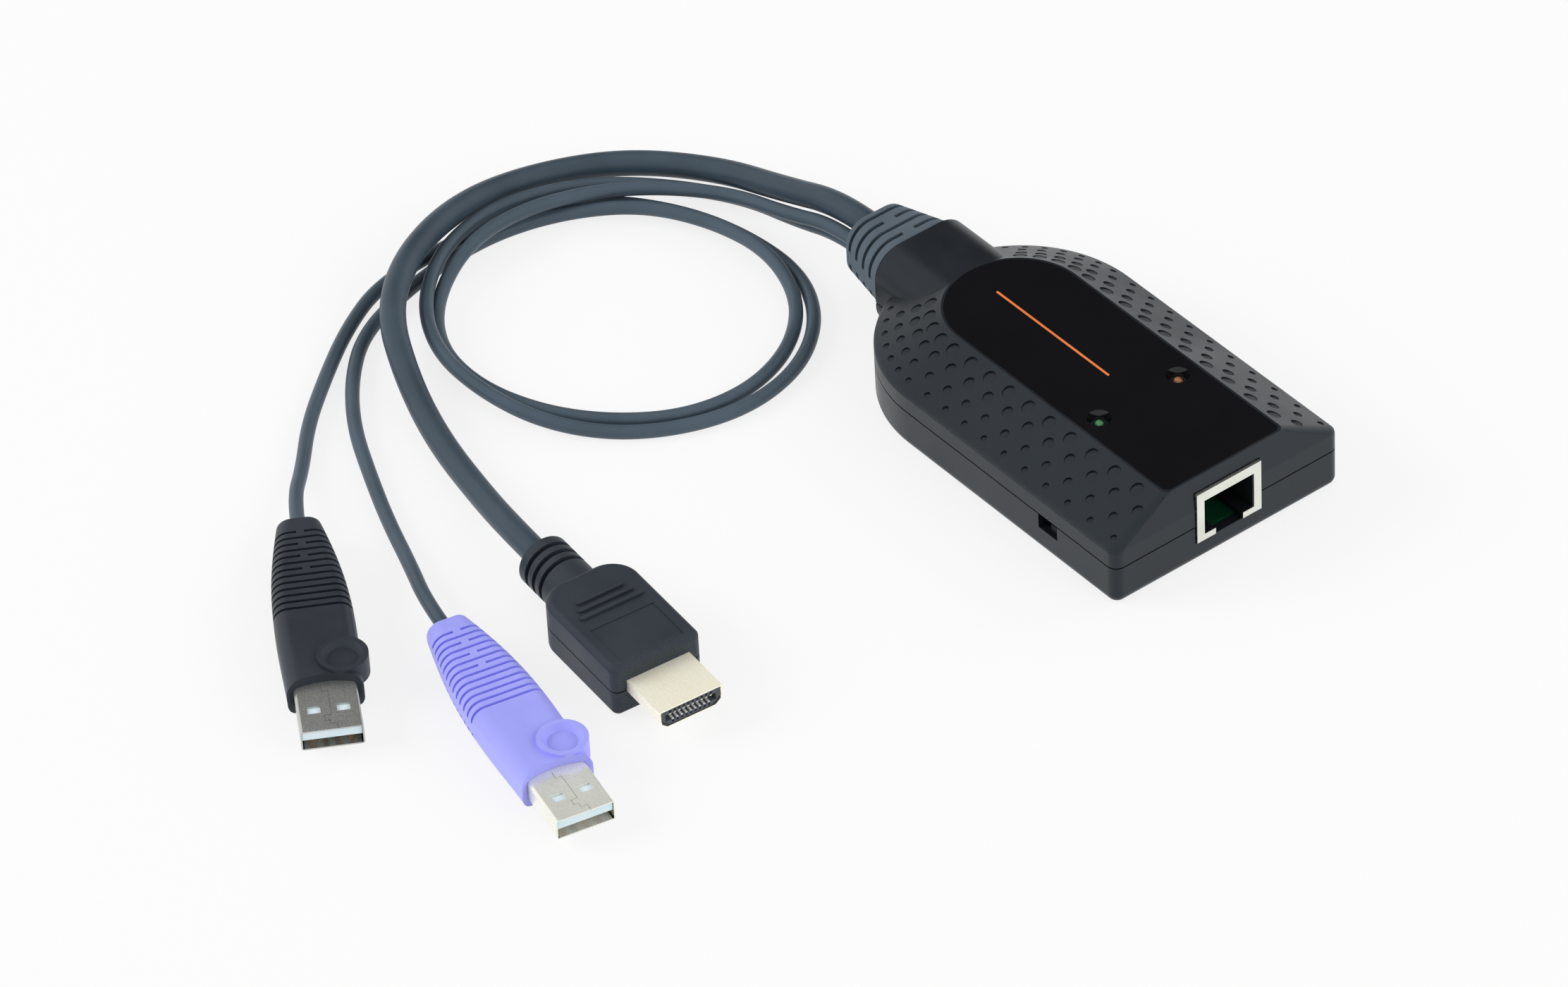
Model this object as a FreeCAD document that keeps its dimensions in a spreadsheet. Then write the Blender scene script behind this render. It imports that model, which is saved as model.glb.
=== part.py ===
import FreeCAD, Part
import math
import os
import Sketcher
from types import SimpleNamespace

# A network adapter for console switches: a moulded two-part housing with a network
# socket at its front, a strain relief at its rear, and three captive cords with plugs.
#
# Lengths are millimetres, angles degrees. +X is forward, towards the socket, +Z is up,
# and the surface that the adapter stands on is z = 0. The housing pieces are drawn about
# the centre of the housing's round rear end, and each plug about its cable entry.

SIZES = {
    # Housing shells
    "housing_length": 91.0,
    "housing_width": 56.0,
    "parting_height": 8.7,
    "shoulder_height": 13.0,
    "crest_height": 20.4,
    "crest_width": 29.4,
    "front_lean": 0.7,
    "corner_radius": 2.2,
    "crest_corner_radius": 1.4,
    "inner_corner_radius": 1.0,
    "base_edge_radius": 2.0,
    "shoulder_bevel_drop": 0.7,
    "shoulder_bevel_inset": 0.6,
    "shoulder_middle_drop": 0.1,
    "shoulder_middle_inset": 0.16,
    "wall": 2.0,
    "floor_thickness": 1.8,
    "roof_thickness": 2.3,
    "ceiling_thickness": 1.4,
    "reveal_gap": 0.3,
    "tongue_height": 1.5,
    "tongue_thickness": 0.95,
    "fit_gap": 0.1,
    "overrun": 1.0,
    # Dimples on the sloping flanks, from the crest down to the shoulder
    "dimple_front_margin": 2.95,
    "dimple_pitch": 3.45,
    "dimple_pitch_change": 0.04,
    "dimple_rear_pitch": 3.9,
    "dimple_gap": 0.6,
    "crest_dimple_inset": 11.0,
    "crest_dimple_diameter": 2.9,
    "crest_dimple_depth": 0.45,
    "crest_dimple_lead": 2.67,
    "high_dimple_inset": 8.2,
    "high_dimple_diameter": 2.4,
    "high_dimple_depth": 0.45,
    "high_dimple_lead": 1.04,
    "low_dimple_inset": 5.0,
    "low_dimple_diameter": 1.9,
    "low_dimple_depth": 0.42,
    "low_dimple_lead": 3.81,
    "edge_dimple_inset": 2.2,
    "edge_dimple_diameter": 1.4,
    "edge_dimple_depth": 0.4,
    "edge_dimple_lead": 1.8,
    "dimple_lip": 0.06,
    # Collar round the strain relief
    "collar_width": 23.0,
    "collar_bottom": 2.8,
    "collar_reach": 1.9,
    "collar_top_radius": 6.8,
    "collar_bottom_radius": 5.0,
    "collar_wall": 1.6,
    "collar_depth": 14.0,
    "rib_setback": 4.9,
    "rib_thickness": 1.4,
    "rib_height": 1.0,
    # Inlay on the top and indicator lamps
    "panel_width": 28.3,
    "panel_thickness": 1.6,
    "panel_gap": 0.05,
    "led_setback": 26.2,
    "led_spread": 19.6,
    "bowl_diameter": 4.8,
    "bowl_floor_diameter": 3.2,
    "lens_diameter": 2.3,
    "lens_rise": 0.8,
    "led_body_diameter": 3.0,
    "led_body_height": 4.2,
    "lead_thickness": 0.5,
    "lead_spacing": 1.3,
    # Network socket
    "jack_width": 15.95,
    "jack_height": 11.8,
    "jack_depth": 21.0,
    "jack_proud": 0.4,
    "jack_gap": 0.25,
    "shield_thickness": 0.3,
    "mouth_width": 12.3,
    "mouth_height": 8.2,
    "mouth_rise": 1.4,
    "latch_width": 6.8,
    "socket_width": 11.9,
    "socket_depth": 14.5,
    "contact_pitch": 1.02,
    "contact_thickness": 0.45,
    "contact_run": 9.0,
    "contact_drop": 3.0,
    "contact_setback": 2.5,
    # Circuit board and what stands on it
    "board_top": 5.0,
    "board_thickness": 1.6,
    "board_margin": 2.0,
    "board_corner": 8.0,
    "board_boot_gap": 3.0,
    "chip_size": 14.0,
    "chip_height": 1.4,
    "chip_standoff": 0.15,
    "chip_setback": 47.0,
    "chip_lead_reach": 1.0,
    "chip_lead_thickness": 0.2,
    "chip_lead_width": 0.4,
    "chip_lead_pitch": 1.35,
    "transformer_length": 7.0,
    "transformer_width": 12.8,
    "transformer_height": 5.6,
    "transformer_gap": 2.2,
    "transformer_pin": 0.6,
    "transformer_pin_pitch": 1.6,
    "crystal_length": 11.0,
    "crystal_width": 4.6,
    "crystal_height": 3.5,
    "crystal_setback": 48.0,
    "crystal_edge_gap": 6.7,
    "header_length": 5.0,
    "header_height": 4.5,
    "header_setback": 8.0,
    "video_header_width": 9.0,
    "usb_header_width": 4.0,
    "header_spacing": 7.1,
    "wire_diameter": 1.0,
    "wire_pitch": 1.6,
    "wire_rise": 3.0,
    # Screws and their bosses
    "boss_diameter": 6.0,
    "boss_inset": 5.5,
    "screw_diameter": 2.0,
    "pilot_gap": 0.1,
    "shank_hole_diameter": 2.6,
    "screw_length": 10.0,
    "screw_head_diameter": 4.2,
    "screw_head_height": 1.5,
    "screw_recess_diameter": 4.8,
    "screw_recess_depth": 2.0,
    "drive_width": 0.6,
    "drive_span": 2.4,
    "drive_depth": 0.8,
    # Slide switch behind the side wall
    "switch_setback": 20.0,
    "switch_length": 9.0,
    "switch_depth": 3.6,
    "switch_height": 3.6,
    "switch_wall_gap": 0.3,
    "switch_travel": 2.0,
    "slot_length": 5.6,
    "slot_bottom": 5.5,
    "knob_length": 2.0,
    "knob_height": 1.4,
    "knob_recess": 0.9,
    "carriage_length": 4.0,
    "carriage_depth": 1.8,
    "carriage_height": 2.2,
    "carriage_front_wall": 0.6,
    "carriage_floor": 0.6,
    "knob_root": 0.5,
    # Strain relief
    "boot_length": 14.7,
    "boot_root_width": 21.8,
    "boot_root_bottom": 4.0,
    "boot_root_top": 19.4,
    "boot_root_radius": 6.2,
    "boot_tip_width": 14.8,
    "boot_tip_bottom": 3.7,
    "boot_tip_top": 17.2,
    "boot_tip_radius": 5.0,
    "boot_tip_rounding": 0.9,
    "neck_length": 9.9,
    "relief_first": 1.6,
    "relief_pitch": 3.0,
    "relief_width": 1.0,
    "relief_depth": 1.8,
    "relief_upper_start": 12.0,
    "relief_lower_end": 9.0,
    "relief_bridge": 2.8,
    # Cords
    "video_cable_diameter": 5.3,
    "usb_cable_diameter": 2.9,
    "video_exit_y": 0.5,
    "video_exit_height": 12.2,
    "purple_exit_y": -3.3,
    "purple_exit_height": 10.0,
    "black_exit_y": -1.6,
    "black_exit_height": 6.6,
    # Video plug
    "video_plug_x": -23.0,
    "video_plug_y": -105.6,
    "video_plug_heading": -5.0,
    "video_grip_start": 12.6,
    "video_grip_length": 28.1,
    "video_grip_width": 19.6,
    "video_grip_thickness": 11.6,
    "video_grip_shoulder": 6.0,
    "video_grip_corner": 1.6,
    "video_grip_edge": 1.3,
    "video_neck_diameter": 11.0,
    "video_groove_width": 1.1,
    "video_groove_depth": 0.9,
    "video_groove_pitch": 2.5,
    "video_groove_first": 2.0,
    "video_rib_first": 7.5,
    "video_rib_pitch": 2.1,
    "video_rib_width": 0.9,
    "video_rib_height": 0.5,
    "video_rib_span": 9.5,
    "video_rib_growth": 1.8,
    "video_label_start": 15.7,
    "video_label_length": 10.7,
    "video_label_width": 14.0,
    "video_label_depth": 0.15,
    "video_seam_width": 0.3,
    "video_seam_depth": 0.25,
    "video_shell_width": 13.9,
    "video_shell_height": 4.45,
    "video_shell_reach": 11.3,
    "video_shell_hold": 5.0,
    "video_shell_wall": 0.35,
    "video_shell_bottom_width": 10.0,
    "video_shell_bevel": 1.7,
    "video_insert_setback": 0.15,
    "video_slot_width": 11.2,
    "video_slot_height": 1.5,
    "video_slot_depth": 8.0,
    "video_contact_pitch": 1.0,
    "video_contact_width": 0.45,
    "video_contact_thickness": 0.15,
    "video_port_width": 0.5,
    "video_port_height": 0.45,
    "video_port_depth": 0.8,
    "video_port_margin": 0.3,
    # Keyboard and mouse plugs (one black, one purple, the same tooling)
    "black_plug_x": -63.1,
    "black_plug_y": -134.4,
    "black_plug_heading": -29.8,
    "purple_plug_x": -20.8,
    "purple_plug_y": -130.5,
    "purple_plug_heading": -11.7,
    "usb_grip_length": 49.5,
    "usb_grip_thickness": 8.3,
    "usb_grip_tip_thickness": 6.6,
    "usb_grip_tip_width": 8.8,
    "usb_waist_station": 11.4,
    "usb_middle_station": 19.8,
    "usb_wide_station": 33.7,
    "usb_grip_waist_width": 12.4,
    "usb_grip_waist_thickness": 7.9,
    "usb_grip_middle_width": 14.4,
    "usb_grip_width": 15.4,
    "usb_grip_front_width": 14.6,
    "usb_grip_rounding": 2.9,
    "usb_tip_rounding": 0.9,
    "usb_front_scoop": 1.6,
    "usb_relief_first": 5.0,
    "usb_relief_pitch": 1.9,
    "usb_relief_width": 0.65,
    "usb_relief_depth": 0.9,
    "usb_relief_bridge": 1.5,
    "usb_relief_side_height": 1.2,
    "thumb_setback": 6.1,
    "thumb_offset": 4.1,
    "thumb_diameter": 9.9,
    "thumb_ring_width": 1.0,
    "thumb_ring_height": 0.6,
    "thumb_dish_depth": 0.5,
    "thumb_dome_diameter": 5.8,
    "usb_shell_width": 12.0,
    "usb_shell_height": 4.5,
    "usb_shell_reach": 12.0,
    "usb_shell_hold": 5.5,
    "usb_shell_wall": 0.3,
    "usb_shell_corner": 0.6,
    "usb_window_width": 2.5,
    "usb_window_length": 2.0,
    "usb_window_setback": 5.9,
    "usb_window_spread": 5.6,
    "usb_seam_width": 0.12,
    "usb_tongue_height": 1.9,
    "usb_tongue_setback": 0.3,
    "usb_contact_pitch": 2.4,
    "usb_contact_width": 1.1,
    "usb_contact_length": 7.5,
    "usb_contact_thickness": 0.15,
}

JACK_CONTACTS = 8
CHIP_LEADS = 9
TRANSFORMER_PINS = 6
VIDEO_WIRES = 5
USB_WIRES = 2
RELIEF_ROWS = 5
VIDEO_GROOVES = 3
VIDEO_RIBS = 3
VIDEO_UPPER_CONTACTS = 10
VIDEO_LOWER_CONTACTS = 9
USB_RELIEFS = 13
USB_CONTACTS = 4
USB_BRIDGED = (0, 2, 4, 6)

# Shares: how much of its half width the crystal's ends take, how much of an inset the
# rounding of a core under slots loses, how far the two corners of the video shell's
# bevel follow an inset, and how much of a cord's run an arc takes at either end.
CRYSTAL_ROUNDNESS = 0.98
CORE_ROUNDING = 0.6
BEVEL_FOOT = 0.6
BEVEL_KNEE = 0.5
ARC_REACH = 0.45

# Dimple rows and the first column of each, counted from the front.
DIMPLE_ROWS = (("crest", 1), ("high", 0), ("low", 1), ("edge", 0))

# The jagged seam of the folded shell: shares of its reach out of the grip and of its
# width, corner by corner.
USB_SEAM = (
    (-0.05, -0.07), (0.09, -0.07), (0.09, 0.03), (0.66, 0.03), (0.66, -0.08),
    (0.78, -0.08), (0.78, -0.01), (0.87, -0.01), (0.87, 0.1), (1.05, 0.1),
)

# Routes of the cords between the run that leaves the strain relief and the run that
# enters the plug.
VIDEO_LEAD = 11.0
VIDEO_ROUTE = (
    (-81.0, -1.5, 7.3), (-98.5, -4.5, 3.6), (-114.0, -16.5, 2.9), (-122.0, -33.5, 3.2),
    (-120.5, -52.5, 7.0), (-113.5, -70.5, 8.6), (-102.0, -84.5, 7.8), (-85.5, -92.0, 4.2),
    (-68.0, -97.5, 2.7), (-48.5, -101.5, 3.4),
)
USB_LEAD = 9.0
PURPLE_ROUTE = (
    (-74.5, -6.0, 7.3), (-89.0, -8.5, 4.9), (-101.0, -17.5, 4.3), (-108.5, -29.5, 5.0),
    (-112.0, -44.0, 5.8), (-110.5, -58.5, 6.0), (-104.0, -71.5, 2.6), (-92.5, -79.5, 1.5),
    (-78.0, -81.0, 1.5), (-63.5, -76.5, 1.5), (-52.0, -68.0, 1.5), (-43.5, -56.0, 1.5),
    (-41.5, -41.5, 1.5), (-46.5, -27.5, 1.5), (-57.0, -17.0, 1.9), (-71.0, -13.5, 3.8),
    (-85.5, -16.0, 3.8), (-98.5, -23.0, 3.8), (-108.5, -33.0, 2.0), (-113.5, -46.5, 1.5),
    (-113.5, -61.0, 1.5), (-110.5, -75.5, 1.5), (-105.0, -89.0, 1.5), (-95.0, -99.0, 1.5),
    (-83.0, -107.0, 1.5), (-69.5, -113.0, 1.5), (-56.0, -118.5, 1.5), (-42.0, -123.5, 2.4),
)
BLACK_ROUTE = (
    (-75.0, -3.0, 3.6), (-89.5, -5.0, 1.7), (-102.0, -13.0, 1.5), (-112.0, -23.5, 2.0),
    (-115.5, -37.0, 4.6), (-116.5, -51.5, 5.5), (-111.5, -65.5, 5.6), (-101.5, -76.5, 4.7),
    (-88.5, -82.5, 4.2), (-74.0, -83.0, 3.9), (-60.0, -79.0, 2.6), (-48.5, -70.0, 1.5),
    (-40.5, -57.5, 1.5), (-37.5, -43.5, 1.5), (-41.0, -29.0, 1.5), (-50.5, -17.5, 1.5),
    (-63.5, -11.5, 1.5), (-78.5, -12.0, 1.5), (-92.5, -16.0, 1.5), (-105.0, -24.0, 1.5),
    (-114.0, -34.5, 1.5), (-117.0, -49.0, 1.5), (-117.0, -63.5, 1.5), (-115.5, -78.0, 1.5),
    (-108.5, -90.5, 1.5), (-99.5, -102.0, 1.5), (-90.0, -113.0, 1.5), (-79.5, -122.0, 1.6),
)

doc = FreeCAD.newDocument("adapter")


# ---------------------------------------------------------------- sizes and bindings

class Size:
    """A number together with the sheet formula that gives it."""

    def __init__(self, value, formula):
        self.value = float(value)
        self.formula = formula

    def __add__(self, other):
        other = as_size(other)
        return Size(self.value + other.value, f"({self.formula} + {other.formula})")

    def __sub__(self, other):
        other = as_size(other)
        return Size(self.value - other.value, f"({self.formula} - {other.formula})")

    def __mul__(self, other):
        other = as_size(other)
        return Size(self.value * other.value, f"({self.formula} * {other.formula})")

    def __truediv__(self, other):
        other = as_size(other)
        return Size(self.value / other.value, f"({self.formula} / {other.formula})")

    def __neg__(self):
        return Size(-self.value, f"(0 - {self.formula})")

    def __radd__(self, other):
        return as_size(other) + self

    def __rsub__(self, other):
        return as_size(other) - self

    def __rmul__(self, other):
        return as_size(other) * self

    def __float__(self):
        return self.value


def as_size(item):
    return item if isinstance(item, Size) else Size(item, f"({float(item)!r})")


def make_sheet():
    """Write every size into the sheet and return them by name."""
    sheet = doc.addObject("Spreadsheet::Sheet", "sizes")
    for row, (alias, value) in enumerate(SIZES.items(), start=1):
        sheet.set(f"A{row}", alias)
        sheet.set(f"B{row}", str(value))
        sheet.setAlias(f"B{row}", alias)
    doc.recompute()
    return SimpleNamespace(**{
        alias: Size(sheet.get(alias), f"sizes.{alias}") for alias in SIZES
    })


def bind(item, sizes):
    """Bind properties of an object, given by name, to sizes."""
    for name, size in sizes.items():
        item.setExpression(name, as_size(size).formula)


def place(item, x=0, y=0, z=0, heading=0):
    """Put an object at a bound place, turned about Z by a bound heading."""
    turn = FreeCAD.Rotation(FreeCAD.Vector(0, 0, 1), float(heading))
    item.Placement = FreeCAD.Placement(FreeCAD.Vector(float(x), float(y), float(z)), turn)
    bind(item, {"Placement.Base.x": x, "Placement.Base.y": y, "Placement.Base.z": z})
    if isinstance(heading, Size):
        bind(item, {"Placement.Rotation.Angle": heading})
    return item


# ---------------------------------------------------------------- solids and booleans

def box(name, low, high):
    """A block between two corners."""
    item = doc.addObject("Part::Box", name)
    spans = [as_size(b) - a for a, b in zip(low, high)]
    bind(item, {"Length": spans[0], "Width": spans[1], "Height": spans[2]})
    return place(item, *low)


def rod(name, base, length, diameter, along="z", end_diameter=None):
    """A cylinder, or a cone when its end differs, from a base point along an axis."""
    radius = as_size(diameter) / 2
    if end_diameter is None:
        item = doc.addObject("Part::Cylinder", name)
        bind(item, {"Radius": radius, "Height": length})
    else:
        item = doc.addObject("Part::Cone", name)
        bind(item, {"Radius1": radius, "Radius2": as_size(end_diameter) / 2,
                    "Height": length})
    place(item, *base)
    if along == "x":
        item.Placement.Rotation = FreeCAD.Rotation(FreeCAD.Vector(0, 1, 0), 90)
    return item


def ball(name, centre, diameter):
    item = doc.addObject("Part::Sphere", name)
    bind(item, {"Radius": as_size(diameter) / 2})
    return place(item, *centre)


def joined(name, items):
    item = doc.addObject("Part::MultiFuse", name)
    item.Shapes = items
    item.Refine = False
    return item


def cut(name, base, tools):
    """The base less one or more tools."""
    item = doc.addObject("Part::Cut", name)
    item.Base = base
    item.Tool = tools[0] if len(tools) == 1 else joined(f"{name}_tools", tools)
    item.Refine = False
    return item


def code_shape(name, shape):
    item = doc.addObject("Part::Feature", name)
    item.Shape = shape
    return item


# ---------------------------------------------------------------- bodies and sketches

def new_body(name):
    return doc.addObject("PartDesign::Body", name)


def sketch_on(body, role, offset=0):
    """A sketch on an origin plane of the body, moved along the plane's normal."""
    plane = next(item for item in body.Origin.OriginFeatures if item.Role == role)
    sketch = body.newObject("Sketcher::SketchObject", f"{body.Name}_sketch")
    sketch.AttachmentSupport = [(plane, "")]
    sketch.MapMode = "FlatFace"
    bind(sketch, {"AttachmentOffset.Base.z": offset})
    return sketch


def dimension(sketch, kind, *reference, size):
    """A driving dimension bound to the sheet."""
    number = sketch.addConstraint(Sketcher.Constraint(kind, *reference, float(size)))
    sketch.setExpression(f"Constraints[{number}]", as_size(size).formula)


def locate(sketch, geometry, vertex, x, y):
    """Dimension a vertex from the sketch's origin."""
    for kind, size in (("DistanceX", x), ("DistanceY", y)):
        dimension(sketch, kind, -1, 1, geometry, vertex, size=size)


def line_between(sketch, start, end):
    vectors = [FreeCAD.Vector(float(x), float(y), 0) for x, y in (start, end)]
    return sketch.addGeometry(Part.LineSegment(*vectors), False)


def outline(sketch, corners):
    """A closed outline of straight sides. A corner is x, y and, where it is rounded,
    its radius; a rounded corner keeps its dimensioned point."""
    spots = [FreeCAD.Vector(float(c[0]), float(c[1]), 0) for c in corners]
    radii = [c[2] if len(c) > 2 else None for c in corners]
    count = len(corners)
    trims = []
    for i in range(count):
        before = (spots[i - 1] - spots[i]).normalize()
        after = (spots[(i + 1) % count] - spots[i]).normalize()
        reach = 0.0
        if radii[i] is not None:
            reach = float(radii[i]) / math.tan(before.getAngle(after) / 2)
        trims.append((spots[i] + before * reach, spots[i] + after * reach))
    sides = []
    for i in range(count):
        ends = Part.LineSegment(trims[i][1], trims[(i + 1) % count][0])
        sides.append(sketch.addGeometry(ends, False))
    for i in range(count):
        arriving, leaving = sides[i - 1], sides[i]
        if radii[i] is None:
            sketch.addConstraint(
                Sketcher.Constraint("Coincident", arriving, 2, leaving, 1))
            locate(sketch, leaving, 1, corners[i][0], corners[i][1])
        else:
            round_corner(sketch, arriving, leaving, corners[i], spots[i], trims[i])
    return sketch


def round_corner(sketch, arriving, leaving, corner, spot, trim):
    """An arc tangent to two sides, whose lines still meet in a dimensioned point."""
    radius = float(corner[2])
    middle = (trim[0] + trim[1]) * 0.5
    half_chord = (trim[0] - trim[1]).Length / 2
    centre_gap = math.sqrt(max(radius ** 2 - half_chord ** 2, 0.0))
    centre = middle + (middle - spot).normalize() * centre_gap
    angles = [math.atan2(point.y - centre.y, point.x - centre.x) for point in trim]
    forward = (angles[1] - angles[0]) % (2 * math.pi) < math.pi
    circle = Part.Circle(centre, FreeCAD.Vector(0, 0, 1), radius)
    first, last = (angles[0], angles[1]) if forward else (angles[1], angles[0])
    arc = sketch.addGeometry(Part.ArcOfCircle(circle, first, last), False)
    start, end = (1, 2) if forward else (2, 1)
    sketch.addConstraint(Sketcher.Constraint("Tangent", arriving, 2, arc, start))
    sketch.addConstraint(Sketcher.Constraint("Tangent", leaving, 1, arc, end))
    dimension(sketch, "Radius", arc, size=corner[2])
    mark = sketch.addGeometry(Part.Point(spot), True)
    for side in (arriving, leaving):
        sketch.addConstraint(Sketcher.Constraint("PointOnObject", mark, 1, side))
    locate(sketch, mark, 1, corner[0], corner[1])


def housing_outline(sketch, radius, front, corner):
    """The housing's plan: a half round rear about the origin, straight sides, and a
    straight front with rounded corners."""
    r, f, c = float(radius), float(front), float(corner)
    up = FreeCAD.Vector(0, 0, 1)
    quarter = math.pi / 2

    def arc(x, y, size, first):
        circle = Part.Circle(FreeCAD.Vector(x, y, 0), up, size)
        turn = math.pi if size == r else quarter
        return sketch.addGeometry(Part.ArcOfCircle(circle, first, first + turn), False)

    rear = arc(0, 0, r, quarter)
    right = line_between(sketch, (0, -r), (f - c, -r))
    right_corner = arc(f - c, c - r, c, -quarter)
    face = line_between(sketch, (f, c - r), (f, r - c))
    left_corner = arc(f - c, r - c, c, 0)
    left = line_between(sketch, (f - c, r), (0, r))
    chain = (rear, right, right_corner, face, left_corner, left)
    sketch.addConstraint(Sketcher.Constraint("Coincident", rear, 3, -1, 1))
    for here, following in zip(chain, chain[1:] + chain[:1]):
        sketch.addConstraint(Sketcher.Constraint("Tangent", here, 2, following, 1))
    sketch.addConstraint(Sketcher.Constraint("Horizontal", right))
    sketch.addConstraint(Sketcher.Constraint("Vertical", face))
    dimension(sketch, "Radius", rear, size=radius)
    dimension(sketch, "Radius", right_corner, size=corner)
    dimension(sketch, "Radius", left_corner, size=corner)
    dimension(sketch, "DistanceX", -1, 1, face, 1, size=front)
    return sketch


def housing_section(body, height, radius, front, corner):
    return housing_outline(sketch_on(body, "XY_Plane", height), radius, front, corner)


def cross_section(body, x, width, bottom, top, top_radius, bottom_radius):
    """A rounded section square to the X axis."""
    half = as_size(width) / 2
    return outline(sketch_on(body, "YZ_Plane", x), [
        (-half, bottom, bottom_radius), (half, bottom, bottom_radius),
        (half, top, top_radius), (-half, top, top_radius),
    ])


def pad(body, sketch, length, backward=False):
    feature = body.newObject("PartDesign::Pad", f"{body.Name}_pad")
    feature.Profile = sketch
    feature.Reversed = backward
    bind(feature, {"Length": length})
    return feature


def pocket(body, sketch, depth, forward=False):
    """A pocket that goes against the sketch's normal, or along it."""
    feature = body.newObject("PartDesign::Pocket", f"{body.Name}_pocket")
    feature.Profile = sketch
    feature.Reversed = forward
    bind(feature, {"Length": depth})
    return feature


def loft(body, sections, ruled):
    feature = body.newObject("PartDesign::AdditiveLoft", f"{body.Name}_loft")
    feature.Profile = sections[0]
    feature.Sections = sections[1:]
    feature.Ruled = ruled
    return feature


def edges_where(shape, test):
    """Names of the edges whose two ends both pass a test."""
    return [
        f"Edge{number}" for number, edge in enumerate(shape.Edges, start=1)
        if all(test(vertex.Point) for vertex in edge.Vertexes)
    ]


def rounded(body, base, test, radius):
    """Round the edges of a feature whose ends pass a test."""
    doc.recompute()
    feature = body.newObject("PartDesign::Fillet", f"{body.Name}_round")
    feature.Base = (base, edges_where(base.Shape, test))
    bind(feature, {"Radius": radius})
    return feature


def at_height(height):
    return lambda point: abs(point.z - float(height)) < 1e-4


def at_x(x):
    return lambda point: abs(point.x - float(x)) < 1e-4


# ---------------------------------------------------------------- places that are shared

S = make_sheet()
REAR_RADIUS = S.housing_width / 2
FRONT = S.housing_length - REAR_RADIUS
INNER_RADIUS = REAR_RADIUS - S.wall
INNER_FRONT = FRONT - S.wall
CREST_RADIUS = S.crest_width / 2
FLANK_SLOPE = (S.crest_height - S.shoulder_height) / (REAR_RADIUS - CREST_RADIUS)
COVER_BOTTOM = S.parting_height + S.reveal_gap
COLLAR_END = -(REAR_RADIUS + S.collar_reach)
BOOT_END = COLLAR_END - S.boot_length
NECK_FRONT = COLLAR_END + S.neck_length
PANEL_FLOOR = S.crest_height - S.panel_thickness
CEILING = PANEL_FLOOR - S.ceiling_thickness
BOARD_UNDERSIDE = S.board_top - S.board_thickness
BOARD_HALF = INNER_RADIUS - S.board_margin
JACK_FRONT = FRONT + S.jack_proud
JACK_BACK = JACK_FRONT - S.jack_depth
JACK_TOP = S.board_top + S.jack_height
JACK_UNDER = S.board_top - S.jack_gap
BOSS_Y = INNER_RADIUS - S.boss_inset
BOSSES = [(x, y) for x in (INNER_FRONT - S.boss_inset, as_size(0)) for y in (BOSS_Y, -BOSS_Y)]
LED_X = FRONT - S.led_setback
LED_Y = S.led_spread / 2
SWITCH_X = FRONT - S.switch_setback
SWITCH_FACE = -(INNER_RADIUS - S.switch_wall_gap)
USB_MIDDLE = S.usb_grip_thickness / 2 + S.fit_gap
# The whole adapter without its cords is centred on x = 0.
HOUSING_X = (S.housing_width - S.housing_length + S.collar_reach + S.boot_length
             - S.jack_proud) / 2

nodes = []


def node(name, item, x=HOUSING_X, y=0, heading=0):
    """Name a finished sub-part and put it in its place."""
    item.Label = name
    place(item, x, y, 0, heading)
    nodes.append(item)
    return item


def flank_height(inset):
    """Height of the outer flank at a distance in from the housing's side."""
    return S.shoulder_height + FLANK_SLOPE * inset


# ---------------------------------------------------------------- housing shells

def shell_openings(prefix):
    """What both shells are cut by: the socket's opening and the collar's bore."""
    half = S.jack_width / 2 + S.jack_gap
    mouth = box(f"{prefix}_mouth",
                (INNER_FRONT - S.inner_corner_radius, -half, S.board_top - S.jack_gap),
                (FRONT + S.wall, half, JACK_TOP + S.jack_gap))
    bore = new_body(f"{prefix}_bore")
    rib_back = COLLAR_END + S.rib_setback
    rib_front = rib_back + S.rib_thickness
    bore_section(bore, COLLAR_END - S.wall, rib_back, 0)
    bore_section(bore, rib_back, rib_front, S.rib_height)
    bore_section(bore, rib_front, COLLAR_END + S.collar_depth, 0)
    return [mouth, bore]


def bore_section(body, start, end, inset, gap=0):
    """A length of the collar's bore, or of the neck that fills it with a gap."""
    step = S.collar_wall + inset + gap
    section = cross_section(body, start, S.collar_width - step * 2,
                            S.collar_bottom + step, S.crest_height - step,
                            S.collar_top_radius - step, S.collar_bottom_radius - step)
    return pad(body, section, end - start)


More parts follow.
